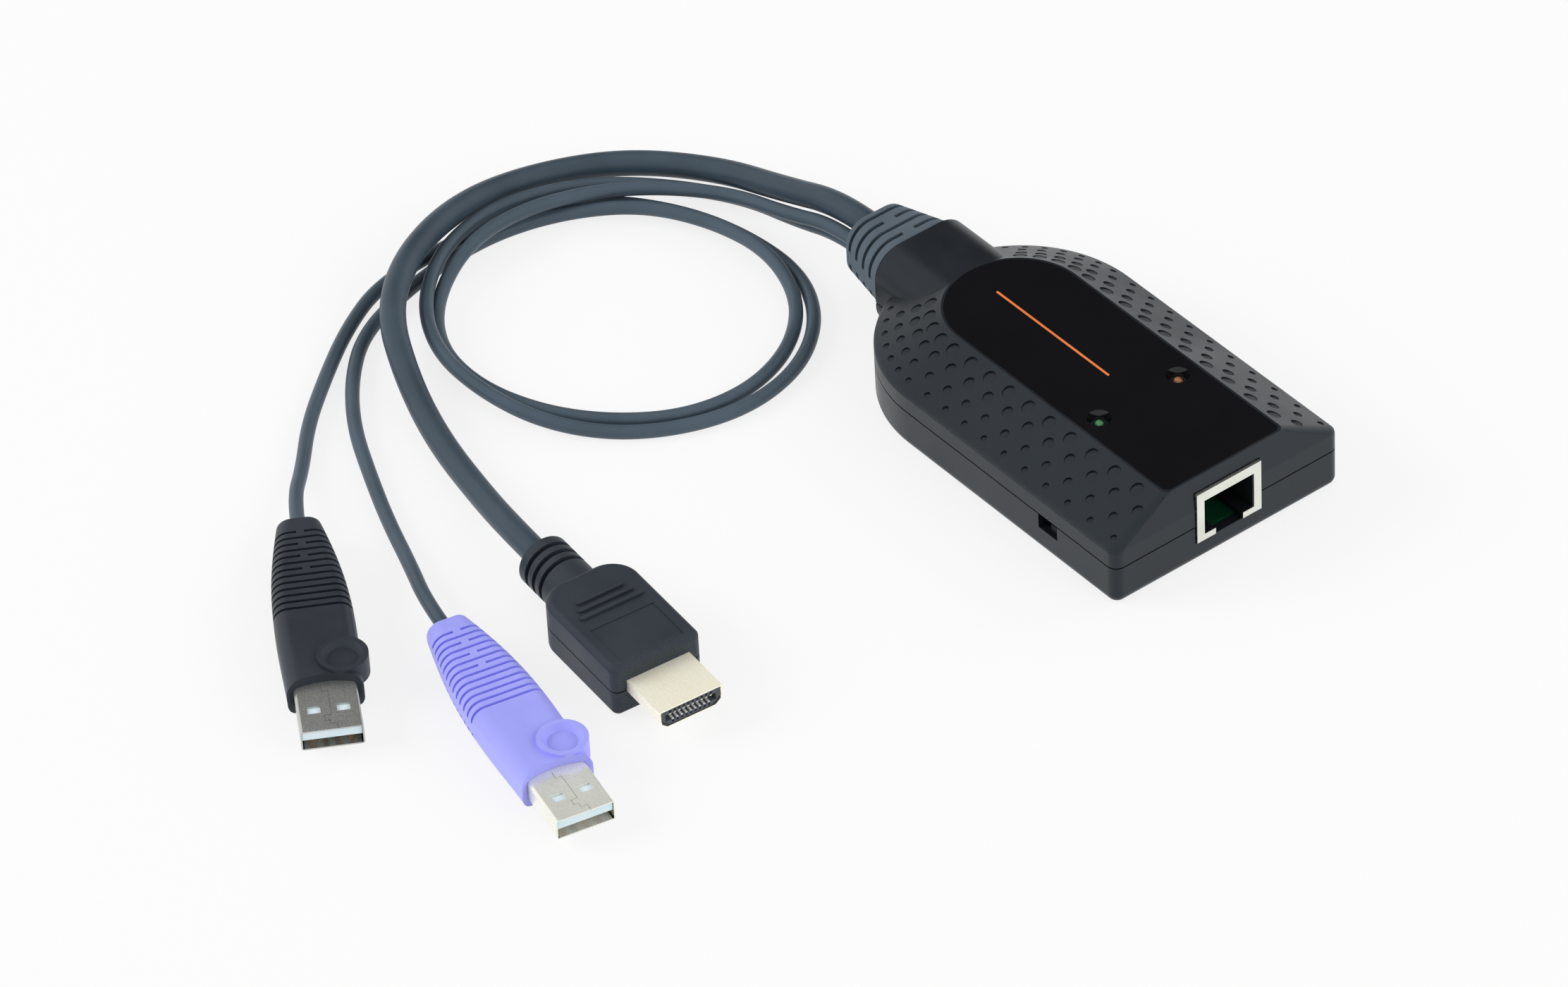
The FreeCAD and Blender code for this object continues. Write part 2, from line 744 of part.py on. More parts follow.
def make_lower_case():
    shell = new_body("lower_shell")
    slab = pad(shell, housing_section(shell, 0, REAR_RADIUS, FRONT, S.corner_radius),
               S.parting_height)
    rounded(shell, slab, at_height(0), S.base_edge_radius)
    collar = outline(sketch_on(shell, "YZ_Plane", COLLAR_END), [
        (-S.collar_width / 2, S.collar_bottom, S.collar_bottom_radius),
        (S.collar_width / 2, S.collar_bottom, S.collar_bottom_radius),
        (S.collar_width / 2, S.parting_height), (-S.collar_width / 2, S.parting_height),
    ])
    pad(shell, collar, S.collar_reach + S.wall * 2)
    tongue = S.tongue_thickness
    pad(shell, housing_section(shell, S.parting_height, INNER_RADIUS + tongue,
                               INNER_FRONT + tongue, S.inner_corner_radius),
        S.tongue_height)

    cavity = new_body("lower_cavity")
    pad(cavity, housing_section(cavity, S.floor_thickness, INNER_RADIUS, INNER_FRONT,
                                S.inner_corner_radius),
        S.crest_height)
    posts = [rod(f"post_{i}", (x, y, 0), BOARD_UNDERSIDE, S.boss_diameter)
             for i, (x, y) in enumerate(BOSSES)]
    holes = [rod(f"shank_hole_{i}", (x, y, 0), BOARD_UNDERSIDE + S.overrun,
                 S.shank_hole_diameter)
             for i, (x, y) in enumerate(BOSSES)]
    recesses = [rod(f"screw_recess_{i}", (x, y, 0), S.screw_recess_depth,
                    S.screw_recess_diameter) for i, (x, y) in enumerate(BOSSES)]
    slot = box("switch_slot",
               (SWITCH_X - S.slot_length / 2, -REAR_RADIUS - S.overrun, S.slot_bottom),
               (SWITCH_X + S.slot_length / 2, S.overrun - INNER_RADIUS,
                S.parting_height))
    tools = [cut("lower_hollow", cavity, posts), slot, *holes, *recesses]
    node("lower_case", cut("lower_case", shell, tools + shell_openings("lower")))


def dimple_shape(row, x, y, outward):
    """A drill that dents the flank at a point, given the direction away from the axis.
    Its flat floor is less steep than the flank, so the dent is deepest towards the
    crest and runs out towards the shoulder."""
    diameter = float(getattr(S, f"{row}_dimple_diameter"))
    depth = float(getattr(S, f"{row}_dimple_depth"))
    lip = float(S.dimple_lip)
    slope = math.atan(float(FLANK_SLOPE))
    tilt = slope - math.atan((depth - lip) / diameter)
    normal = outward * math.sin(slope) + FreeCAD.Vector(0, 0, math.cos(slope))
    drill = outward * math.sin(tilt) + FreeCAD.Vector(0, 0, math.cos(tilt))
    height = float(flank_height(getattr(S, f"{row}_dimple_inset")))
    floor = FreeCAD.Vector(x, y, height) - normal * ((depth + lip) / 2)
    return Part.makeCylinder(diameter / 2, diameter, floor, drill)


def collar_half(height):
    """Half the collar's width at a height on its rounded top."""
    radius = float(S.collar_top_radius)
    rise = max(height - float(S.crest_height) + radius, 0.0)
    return float(S.collar_width) / 2 - radius + math.sqrt(max(radius ** 2 - rise ** 2, 0.0))


def flank_dimples(first_column, limit):
    """Places along a straight flank, from the front to a limit near its rear end. The
    pitch gets a little finer towards the rear."""
    columns = 2 * int(float(FRONT / S.dimple_pitch))
    for column in range(first_column, columns, 2):
        gain = float(S.dimple_pitch_change) * column * (column - 1) / 2
        x = float(FRONT - S.dimple_front_margin) - float(S.dimple_pitch) * column + gain
        if x >= limit:
            yield x


def rear_dimples(reach, lead, limit):
    """Angles round the rear end, from a lead behind the straight flank to the last
    place whose distance from the axis plane keeps to a limit."""
    angle = lead / reach
    while reach * math.cos(angle) > limit:
        yield angle
        angle += float(S.dimple_rear_pitch) / reach


def dimple_shapes():
    """All dimples: along both flanks, then round the rear end up to the collar."""
    shapes = []
    for row, first_column in DIMPLE_ROWS:
        inset = getattr(S, f"{row}_dimple_inset")
        lead = float(getattr(S, f"{row}_dimple_lead"))
        diameter = float(getattr(S, f"{row}_dimple_diameter"))
        spacing = diameter + float(S.dimple_gap)
        reach = float(REAR_RADIUS - inset)
        collar_edge = collar_half(float(flank_height(inset))) + spacing - diameter / 2
        for side in (-1, 1):
            outward = FreeCAD.Vector(0, side, 0)
            for x in flank_dimples(first_column, max(spacing - lead, 0.0)):
                shapes.append(dimple_shape(row, x, side * reach, outward))
            for angle in rear_dimples(reach, lead, collar_edge):
                outward = FreeCAD.Vector(-math.sin(angle), side * math.cos(angle), 0)
                shapes.append(dimple_shape(row, outward.x * reach, outward.y * reach,
                                           outward))
    return shapes


def make_upper_cover():
    shell = new_body("upper_shell")
    band_top = S.shoulder_height - S.shoulder_bevel_drop
    pad(shell, housing_section(shell, COVER_BOTTOM, REAR_RADIUS, FRONT, S.corner_radius),
        band_top - COVER_BOTTOM)
    bevel_rise = FLANK_SLOPE * S.shoulder_bevel_inset
    bevel_lean = bevel_rise * S.front_lean / (S.crest_height - S.shoulder_height)
    loft(shell, [
        housing_section(shell, height, radius, front, corner)
        for height, radius, front, corner in (
            (band_top, REAR_RADIUS, FRONT, S.corner_radius),
            (S.shoulder_height - S.shoulder_middle_drop,
             REAR_RADIUS - S.shoulder_middle_inset, FRONT, S.corner_radius),
            (S.shoulder_height + bevel_rise, REAR_RADIUS - S.shoulder_bevel_inset,
             FRONT - bevel_lean, S.corner_radius),
            (S.crest_height, CREST_RADIUS, FRONT - S.front_lean, S.crest_corner_radius),
        )
    ], True)
    collar = outline(sketch_on(shell, "YZ_Plane", COLLAR_END), [
        (-S.collar_width / 2, COVER_BOTTOM), (S.collar_width / 2, COVER_BOTTOM),
        (S.collar_width / 2, S.crest_height, S.collar_top_radius),
        (-S.collar_width / 2, S.crest_height, S.collar_top_radius),
    ])
    pad(shell, collar, REAR_RADIUS + S.collar_reach - CREST_RADIUS + S.wall)

    cavity = new_body("upper_cavity")
    tongue = S.tongue_thickness + S.fit_gap
    pad(cavity, housing_section(cavity, COVER_BOTTOM, INNER_RADIUS + tongue,
                                INNER_FRONT + tongue, S.inner_corner_radius),
        S.tongue_height - S.reveal_gap + S.fit_gap)
    inner_shoulder = flank_height(S.wall) - S.roof_thickness
    ceiling_inset = (CEILING + S.roof_thickness - S.shoulder_height) / FLANK_SLOPE
    pad(cavity, housing_section(cavity, COVER_BOTTOM, INNER_RADIUS, INNER_FRONT,
                                S.inner_corner_radius),
        inner_shoulder - COVER_BOTTOM)
    loft(cavity, [
        housing_section(cavity, inner_shoulder, INNER_RADIUS, INNER_FRONT,
                        S.inner_corner_radius),
        housing_section(cavity, CEILING, REAR_RADIUS - ceiling_inset,
                        INNER_FRONT - S.front_lean, S.inner_corner_radius),
    ], True)
    cores = [rod(f"boss_core_{i}", (x, y, 0), S.crest_height, S.boss_diameter)
             for i, (x, y) in enumerate(BOSSES)]
    stubs = [rod(f"boss_stub_{i}", (x, y, S.board_top), COVER_BOTTOM + S.wall - S.board_top,
                 S.boss_diameter) for i, (x, y) in enumerate(BOSSES)]
    pilots = [rod(f"pilot_{i}", (x, y, 0), S.screw_recess_depth + S.screw_length + S.overrun,
                  S.screw_diameter + S.pilot_gap * 2) for i, (x, y) in enumerate(BOSSES)]
    recess = new_body("panel_recess")
    pad(recess, housing_section(recess, PANEL_FLOOR, S.panel_width / 2 + S.panel_gap,
                                panel_front() + S.panel_gap, S.crest_corner_radius),
        S.panel_thickness * 2)
    lens_holes = [rod(f"lens_hole_{i}", (LED_X, side * LED_Y, CEILING - S.overrun),
                      S.ceiling_thickness + S.overrun * 2,
                      S.lens_diameter + S.fit_gap * 2)
                  for i, side in enumerate((-1, 1))]
    solid = joined("upper_solid", [shell, *stubs])
    tools = [cut("upper_hollow", cavity, cores), recess, *lens_holes, *pilots]
    plain = cut("upper_plain", solid, tools + shell_openings("upper"))
    dimples = code_shape("dimples", Part.makeCompound(dimple_shapes()))
    node("upper_cover", cut("upper_cover", plain, [dimples]))


def panel_front():
    rim = (S.crest_width - S.panel_width) / 2
    return FRONT - S.front_lean - rim


def make_top_panel():
    panel = new_body("panel_plate")
    pad(panel, housing_section(panel, PANEL_FLOOR, S.panel_width / 2, panel_front(),
                               S.crest_corner_radius), S.panel_thickness)
    bowls = [rod(f"bowl_{i}", (LED_X, side * LED_Y, PANEL_FLOOR), S.panel_thickness,
                 S.bowl_floor_diameter, end_diameter=S.bowl_diameter)
             for i, side in enumerate((-1, 1))]
    node("top_panel", cut("top_panel", panel, bowls))


def make_lamps():
    """Indicator lamps under the bowls, and the leads that carry them."""
    body_top = CEILING - S.fit_gap
    body_bottom = body_top - S.led_body_height
    lens_straight = PANEL_FLOOR + S.lens_rise - S.lens_diameter / 2
    leads = []
    for name, side in (("link_led", -1), ("power_led", 1)):
        y = side * LED_Y
        node(name, joined(name, [
            rod(f"{name}_body", (LED_X, y, body_bottom), S.led_body_height,
                S.led_body_diameter),
            rod(f"{name}_stem", (LED_X, y, body_top), lens_straight - body_top,
                S.lens_diameter),
            ball(f"{name}_lens", (LED_X, y, lens_straight), S.lens_diameter),
        ]))
        for lead in (-1, 1):
            x = LED_X + lead * S.lead_spacing / 2
            half = S.lead_thickness / 2
            leads.append(box(f"{name}_lead", (x - half, y - half, S.board_top),
                             (x + half, y + half, body_bottom)))
    node("led_leads", joined("led_leads", leads))


# ---------------------------------------------------------------- network socket

def mouth_outline(sketch, half_width):
    """The plug's opening, and below it the gap for its latch, open down to the board."""
    latch_half = S.latch_width / 2
    bottom = S.board_top + S.mouth_rise
    top = bottom + S.mouth_height
    return outline(sketch, [
        (-half_width, bottom), (-latch_half, bottom), (-latch_half, JACK_UNDER),
        (latch_half, JACK_UNDER), (latch_half, bottom), (half_width, bottom),
        (half_width, top), (-half_width, top),
    ])


def make_jack():
    half = S.jack_width / 2
    sheet = S.shield_thickness
    shield = new_body("shield_body")
    pad(shield, outline(sketch_on(shield, "YZ_Plane", JACK_BACK), [
        (-half, S.board_top), (half, S.board_top), (half, JACK_TOP), (-half, JACK_TOP),
    ]), S.jack_depth)
    pocket(shield, outline(sketch_on(shield, "YZ_Plane", JACK_BACK), [
        (sheet - half, JACK_UNDER), (half - sheet, JACK_UNDER),
        (half - sheet, JACK_TOP - sheet), (sheet - half, JACK_TOP - sheet),
    ]), S.jack_depth - sheet, forward=True)
    pocket(shield, mouth_outline(sketch_on(shield, "YZ_Plane", JACK_FRONT),
                                 S.mouth_width / 2), sheet * 2)
    node("jack_shield", shield)

    insert = new_body("insert_body")
    skin = sheet + S.panel_gap
    front = JACK_FRONT - sheet
    pad(insert, outline(sketch_on(insert, "YZ_Plane", JACK_BACK), [
        (skin - half, S.board_top + S.panel_gap), (half - skin, S.board_top + S.panel_gap),
        (half - skin, JACK_TOP - skin), (skin - half, JACK_TOP - skin),
    ]), front - JACK_BACK)
    pocket(insert, mouth_outline(sketch_on(insert, "YZ_Plane", front),
                                 S.socket_width / 2), S.socket_depth)
    node("jack_insert", insert)

    top = S.board_top + S.mouth_rise + S.mouth_height
    start = JACK_FRONT - S.contact_setback
    wires = []
    for number in range(JACK_CONTACTS):
        y = S.contact_pitch * (number - (JACK_CONTACTS - 1) / 2)
        wire = new_body(f"contact_{number}")
        sketch = sketch_on(wire, "XZ_Plane", -(y + S.contact_thickness / 2))
        profile = outline(sketch, [
            (start, top), (start - S.contact_thickness, top),
            (start - S.contact_run - S.contact_thickness, top - S.contact_drop),
            (start - S.contact_run, top - S.contact_drop),
        ])
        pad(wire, profile, S.contact_thickness)
        wires.append(wire)
    node("jack_contacts", joined("jack_contacts", wires))


# ---------------------------------------------------------------- board and components

def make_board():
    back = NECK_FRONT + S.board_boot_gap
    front = INNER_FRONT - S.jack_gap
    corner = S.board_corner
    board = new_body("board_plate")
    pad(board, outline(sketch_on(board, "XY_Plane", BOARD_UNDERSIDE), [
        (back, corner - BOARD_HALF), (back + corner, -BOARD_HALF), (front, -BOARD_HALF),
        (front, BOARD_HALF), (back + corner, BOARD_HALF), (back, BOARD_HALF - corner),
    ]), S.board_thickness)
    holes = [rod(f"board_hole_{i}", (x, y, 0), S.board_top * 2, S.shank_hole_diameter)
             for i, (x, y) in enumerate(BOSSES)]
    node("main_board", cut("main_board", board, holes))


def make_chip():
    centre = FRONT - S.chip_setback
    half = S.chip_size / 2
    bottom = S.board_top + S.chip_standoff
    block = box("chip_block", (centre - half, -half, bottom),
                (centre + half, half, bottom + S.chip_height))
    leads = []
    reach = half + S.chip_lead_reach
    root = half - S.chip_lead_width
    top = S.board_top + S.chip_standoff + S.chip_lead_thickness
    for number in range(CHIP_LEADS):
        along = S.chip_lead_pitch * (number - (CHIP_LEADS - 1) / 2)
        low, high = along - S.chip_lead_width / 2, along + S.chip_lead_width / 2
        for near, far in ((-reach, -root), (root, reach)):
            leads.append(box("chip_lead_x", (centre + low, near, S.board_top),
                             (centre + high, far, top)))
            leads.append(box("chip_lead_y", (centre + near, low, S.board_top),
                             (centre + far, high, top)))
    node("converter_chip", joined("converter_chip", [block, *leads]))


def make_transformer():
    front = JACK_BACK - S.transformer_gap
    back = front - S.transformer_length
    half = S.transformer_width / 2
    pieces = [box("transformer_block", (back, -half, S.board_top),
                  (front, half, S.board_top + S.transformer_height))]
    for number in range(TRANSFORMER_PINS):
        y = S.transformer_pin_pitch * (number - (TRANSFORMER_PINS - 1) / 2)
        pin = S.transformer_pin
        pieces.append(box("transformer_pin", (back - pin, y - pin / 2, S.board_top),
                          (front + pin, y + pin / 2, S.board_top + pin)))
    node("lan_transformer", joined("lan_transformer", pieces))


def make_crystal():
    can = new_body("crystal_body")
    back = FRONT - S.crystal_setback - S.crystal_length / 2
    front = back + S.crystal_length
    outer = S.crystal_edge_gap - BOARD_HALF
    inner = outer + S.crystal_width
    turn = S.crystal_width / 2 * CRYSTAL_ROUNDNESS
    pad(can, outline(sketch_on(can, "XY_Plane", S.board_top), [
        (back, outer, turn), (front, outer, turn), (front, inner, turn), (back, inner, turn),
    ]), S.crystal_height)
    node("crystal_can", can)


def make_headers():
    """Headers behind the strain relief and the wires that plug into them."""
    back = NECK_FRONT + S.header_setback
    headers = []
    wires = []
    plan = ((-S.header_spacing, S.usb_header_width, USB_WIRES),
            (as_size(0), S.video_header_width, VIDEO_WIRES),
            (S.header_spacing, S.usb_header_width, USB_WIRES))
    for centre, width, count in plan:
        headers.append(box("header_block", (back, centre - width / 2, S.board_top),
                           (back + S.header_length, centre + width / 2,
                            S.board_top + S.header_height)))
        for number in range(count):
            y = centre + S.wire_pitch * (number - (count - 1) / 2)
            wires.append(rod("wire", (NECK_FRONT, y, S.board_top + S.wire_rise),
                             back - NECK_FRONT, S.wire_diameter, along="x"))
    node("cord_headers", joined("cord_headers", headers))
    node("inner_wires", joined("inner_wires", wires))


def make_screws():
    screws = []
    seat = S.screw_recess_depth
    for x, y in BOSSES:
        shank = rod("shank", (x, y, seat), S.screw_length, S.screw_diameter)
        head = rod("screw_head", (x, y, seat - S.screw_head_height), S.screw_head_height,
                   S.screw_head_diameter)
        low = seat - S.screw_head_height
        drives = []
        for across, along in ((S.drive_width / 2, S.drive_span / 2),
                              (S.drive_span / 2, S.drive_width / 2)):
            drives.append(box("drive", (x - across, y - along, low - S.overrun),
                              (x + across, y + along, low + S.drive_depth)))
        screws.append(cut("screw", joined("screw_blank", [shank, head]), drives))
    node("housing_screws", joined("housing_screws", screws))


# ---------------------------------------------------------------- slide switch

def make_switch():
    """A slide switch behind the side wall, with its knob at the front of its slot."""
    gap = S.fit_gap
    half_travel = S.switch_travel / 2
    inner = SWITCH_FACE + S.carriage_front_wall
    carriage_bottom = S.board_top + S.carriage_floor
    middle = carriage_bottom + S.carriage_height / 2
    case = box("switch_case",
               (SWITCH_X - S.switch_length / 2, SWITCH_FACE, S.board_top),
               (SWITCH_X + S.switch_length / 2, SWITCH_FACE + S.switch_depth,
                S.board_top + S.switch_height))
    hall_half = S.carriage_length / 2 + half_travel + gap
    hall = box("switch_hall", (SWITCH_X - hall_half, inner - gap, carriage_bottom - gap),
               (SWITCH_X + hall_half, inner + S.carriage_depth + gap,
                carriage_bottom + S.carriage_height + gap))
    window_half = S.knob_length / 2 + half_travel + gap
    knob_half = S.knob_height / 2
    window = box("switch_window", (SWITCH_X - window_half, SWITCH_FACE - S.overrun,
                                   middle - knob_half - gap),
                 (SWITCH_X + window_half, inner + S.knob_root, middle + knob_half + gap))
    node("switch_body", cut("switch_body", case, [hall, window]))

    x = SWITCH_X + half_travel
    carriage = box("carriage", (x - S.carriage_length / 2, inner, carriage_bottom),
                   (x + S.carriage_length / 2, inner + S.carriage_depth,
                    carriage_bottom + S.carriage_height))
    knob = box("knob", (x - S.knob_length / 2, S.knob_recess - REAR_RADIUS,
                        middle - knob_half),
               (x + S.knob_length / 2, inner + S.knob_root, middle + knob_half))
    node("switch_slider", joined("switch_slider", [carriage, knob]))


# ---------------------------------------------------------------- strain relief

def boot_loft(name, inset):
    """The tapered outside of the strain relief, or its core under the slots."""
    body = new_body(name)
    sections = [
        cross_section(body, x, width - inset * 2, bottom + inset, top - inset,
                      radius - inset * CORE_ROUNDING, radius - inset * CORE_ROUNDING)
        for x, width, bottom, top, radius in (
            (COLLAR_END, S.boot_root_width, S.boot_root_bottom, S.boot_root_top,
             S.boot_root_radius),
            (BOOT_END, S.boot_tip_width, S.boot_tip_bottom, S.boot_tip_top,
             S.boot_tip_radius),
        )
    ]
    return body, loft(body, sections, True)


def make_boot():
    body, cone = boot_loft("boot_body", as_size(0))
    rounded(body, cone, at_x(BOOT_END), S.boot_tip_rounding)
    rib_back = COLLAR_END + S.rib_setback
    rib_front = rib_back + S.rib_thickness
    gap = S.fit_gap
    bore_section(body, COLLAR_END, rib_back - gap, 0, gap)
    bore_section(body, rib_back - gap, rib_front + gap, S.rib_height, gap)
    bore_section(body, rib_front + gap, NECK_FRONT, 0, gap)

    slabs = []
    for row in range(RELIEF_ROWS):
        x = BOOT_END + S.relief_first + S.relief_pitch * row
        across = S.boot_root_width
        far = x + S.relief_width
        slabs.append(box("lower_relief", (x, -across, 0), (far, across, S.relief_lower_end)))
        if row % 2:
            gap_half = S.relief_bridge / 2
            spans = ((-across, -gap_half), (gap_half, across))
        else:
            spans = ((-across, across),)
        for low, high in spans:
            slabs.append(box("upper_relief", (x, low, S.relief_upper_start),
                             (far, high, S.crest_height + S.wall)))
    core, _ = boot_loft("boot_core", S.relief_depth)
    slots = cut("boot_slots", joined("boot_slabs", slabs), [core])
    node("cable_boot", cut("cable_boot", body, [slots]))


# ---------------------------------------------------------------- cords

def route_of(exit_point, lead, middle, entry, heading):
    """All the points of a cord: straight out of the strain relief, along its chosen
    points, and straight into its plug."""
    x, y, z = exit_point
    end_x, end_y, end_z = entry
    turn = math.radians(heading)
    before = (end_x - lead * math.cos(turn), end_y - lead * math.sin(turn), end_z)
    points = [exit_point, (x - lead, y, z), *middle, before, entry]
    return [FreeCAD.Vector(*point) for point in points]


def tube(points, diameter):
    """A round tube along straight runs joined by tangent arcs, with its arcs' radii
    and the length of its path."""
    edges = []
    radii = []
    here = points[0]
    for before, corner, after in zip(points, points[1:], points[2:]):
        back = (before - corner).normalize()
        ahead = (after - corner).normalize()
        turn = math.pi - back.getAngle(ahead)
        reach = ARC_REACH * min((before - corner).Length, (after - corner).Length)
        radius = reach / math.tan(turn / 2)
        start = corner + back * reach
        end = corner + ahead * reach
        inward = (back + ahead).normalize()
        middle = corner + inward * (radius / math.cos(turn / 2) - radius)
        edges.append(Part.LineSegment(here, start).toShape())
        edges.append(Part.Arc(start, middle, end).toShape())
        radii.append(radius)
        here = end
    edges.append(Part.LineSegment(here, points[-1]).toShape())
    path = Part.Wire(edges)
    circle = Part.Circle(points[0], points[1] - points[0], diameter / 2)
    profile = Part.Wire([circle.toShape()])
    return path.makePipeShell([profile], True, False), radii, path.Length


def make_cord(name, exit_y, exit_height, lead, middle, plug, entry_height, diameter):
    exit_point = (float(HOUSING_X + BOOT_END), float(exit_y), float(exit_height))
    entry = (float(plug.x), float(plug.y), float(entry_height))
    points = route_of(exit_point, lead, middle, entry, float(plug.heading))
    shape, radii, length = tube(points, float(diameter))
    expected = math.pi * float(diameter) ** 2 / 4 * length
    print(f"{name}: length {length:.1f}, volume {shape.Volume / expected:.4f} of expected")
    print("  radii in diameters:", " ".join(f"{r / float(diameter):.1f}" for r in radii))
    print("  runs:", " ".join(f"{(b - a).Length:.0f}" for a, b in zip(points, points[1:])))
    item = code_shape(name, shape)
    item.Label = name
    nodes.append(item)


# ---------------------------------------------------------------- video plug

def plug_place(name):
    return SimpleNamespace(x=getattr(S, f"{name}_plug_x"), y=getattr(S, f"{name}_plug_y"),
                           heading=getattr(S, f"{name}_plug_heading"))


def at_plug(name, item, plug):
    return node(name, item, plug.x, plug.y, plug.heading)


def video_profile(sketch, inset):
    """The shell's section: flat top and bottom, with bevelled lower corners."""
    half = S.video_shell_width / 2 - inset
    foot = S.video_shell_bottom_width / 2 - inset * BEVEL_FOOT
    middle = S.video_grip_thickness / 2
    top = middle + S.video_shell_height / 2 - inset
    bottom = middle - S.video_shell_height / 2 + inset
    knee = bottom + S.video_shell_bevel - inset * BEVEL_KNEE
    return outline(sketch, [(-foot, bottom), (foot, bottom), (half, knee), (half, top),
                            (-half, top), (-half, knee)])


def grip_plan(sketch, inset):
    """The video plug's plan with wide shoulders behind and small corners in front."""
    start = S.video_grip_start + inset
    end = S.video_grip_start + S.video_grip_length - inset
    half = S.video_grip_width / 2 - inset
    return outline(sketch, [
        (start, -half, S.video_grip_shoulder), (end, -half, S.video_grip_corner),
        (end, half, S.video_grip_corner), (start, half, S.video_grip_shoulder),
    ])


def make_video_plug():
    plug = plug_place("video")
    front = S.video_grip_start + S.video_grip_length
    tip = front + S.video_shell_reach
    hold = front - S.video_shell_hold
    middle = S.video_grip_thickness / 2

    block = new_body("video_block")
    slab = pad(block, grip_plan(sketch_on(block, "XY_Plane"), as_size(0)),
               S.video_grip_thickness)
    rounded(block, slab, lambda point: at_height(0)(point)
            or at_height(S.video_grip_thickness)(point), S.video_grip_edge)
    ribs = []
    for number in range(VIDEO_RIBS):
        x = S.video_grip_start + S.video_rib_first + S.video_rib_pitch * number
        half = (S.video_rib_span + S.video_rib_growth * number) / 2
        rib_top = S.video_grip_thickness + S.video_rib_height
        ribs.append(box("video_rib", (x, -half, middle),
                        (x + S.video_rib_width, half, rib_top)))
        for y in (-half, half):
            ribs.append(rod("video_rib_end", (x + S.video_rib_width / 2, y, middle),
                            rib_top - middle, S.video_rib_width))
    neck = new_body("video_neck")
    radius = S.video_neck_diameter / 2
    floor = radius - S.video_groove_depth
    profile = [(as_size(0), as_size(0)), (as_size(0), radius)]
    for number in range(VIDEO_GROOVES):
        x = S.video_groove_first + S.video_groove_pitch * number
        far = x + S.video_groove_width
        profile += [(x, radius), (x, floor), (far, floor), (far, radius)]
    buried = S.video_grip_start + S.overrun
    profile += [(buried, radius), (buried, as_size(0))]
    turned = neck.newObject("PartDesign::Revolution", "video_neck_turned")
    turned.Profile = outline(sketch_on(neck, "XZ_Plane"), profile)
    turned.ReferenceAxis = (turned.Profile[0], ["H_Axis"])
    turned.Angle = 360
    place(neck, 0, 0, middle)

    seam_band = box("video_seam_band", (S.video_grip_start - S.overrun, -S.video_grip_width,
                                        middle - S.video_seam_width / 2),
                    (front + S.overrun, S.video_grip_width, middle + S.video_seam_width / 2))
    seam_core = new_body("video_seam_core")
    pad(seam_core, grip_plan(sketch_on(seam_core, "XY_Plane"), S.video_seam_depth),
        S.video_grip_thickness)
    seam_keep = rod("video_seam_keep", (0, 0, middle), S.video_grip_start + S.overrun * 2,
                    S.video_neck_diameter, along="x")
    seam = cut("video_seam", seam_band, [seam_core, seam_keep])
    pit = new_body("video_pit")
    pad(pit, video_profile(sketch_on(pit, "YZ_Plane", hold), -S.panel_gap),
        S.video_shell_hold + S.overrun)
    label_start = S.video_grip_start + S.video_label_start
    label = box("video_label",
                (label_start, -S.video_label_width / 2,
                 S.video_grip_thickness - S.video_label_depth),
                (label_start + S.video_label_length, S.video_label_width / 2,
                 S.video_grip_thickness + S.video_rib_height))
    grip = joined("video_solid", [block, neck, *ribs])
    at_plug("video_plug_grip", cut("video_plug_grip", grip, [seam, pit, label]), plug)

    shell = new_body("video_shell")
    pad(shell, video_profile(sketch_on(shell, "YZ_Plane", hold), as_size(0)), tip - hold)
    pocket(shell, video_profile(sketch_on(shell, "YZ_Plane", hold), S.video_shell_wall),
           tip - hold, forward=True)
    at_plug("video_plug_shell", shell, plug)

    insert_end = tip - S.video_insert_setback
    insert = new_body("video_insert")
    pad(insert, video_profile(sketch_on(insert, "YZ_Plane", hold),
                              S.video_shell_wall + S.panel_gap), insert_end - hold)
    slot_half = S.video_slot_width / 2
    slot_low = middle - S.video_slot_height / 2
    slot_high = middle + S.video_slot_height / 2
    slot_end = insert_end - S.video_slot_depth
    slot = box("video_slot", (slot_end, -slot_half, slot_low),
               (tip, slot_half, slot_high))
    ports = []
    port_half = S.video_port_width / 2
    for count, low in ((VIDEO_UPPER_CONTACTS, slot_high + S.video_port_margin),
                       (VIDEO_LOWER_CONTACTS,
                        slot_low - S.video_port_margin - S.video_port_height)):
        for number in range(count):
            y = S.video_contact_pitch * (number - (count - 1) / 2)
            ports.append(box("video_port",
                             (insert_end - S.video_port_depth, y - port_half, low),
                             (tip, y + port_half, low + S.video_port_height)))
    at_plug("video_plug_insert", cut("video_plug_insert", insert, [slot, *ports]), plug)

    contacts = []
    for count, low in ((VIDEO_UPPER_CONTACTS, slot_high - S.video_contact_thickness),
                       (VIDEO_LOWER_CONTACTS, slot_low)):
        for number in range(count):
            y = S.video_contact_pitch * (number - (count - 1) / 2)
            half = S.video_contact_width / 2
            contacts.append(box("video_contact", (slot_end, y - half, low),
                                (insert_end, y + half, low + S.video_contact_thickness)))
    at_plug("video_plug_contacts", joined("video_plug_contacts", contacts), plug)


# ---------------------------------------------------------------- keyboard and mouse plugs

def usb_section(body, x, width, thickness, inset):
    """A section of the grip, or of its core, about the height of its shell."""
    half = thickness / 2 - inset
    radius = S.usb_grip_rounding - inset * CORE_ROUNDING
    return cross_section(body, x, width - inset * 2, USB_MIDDLE - half, USB_MIDDLE + half,
                         radius, radius)


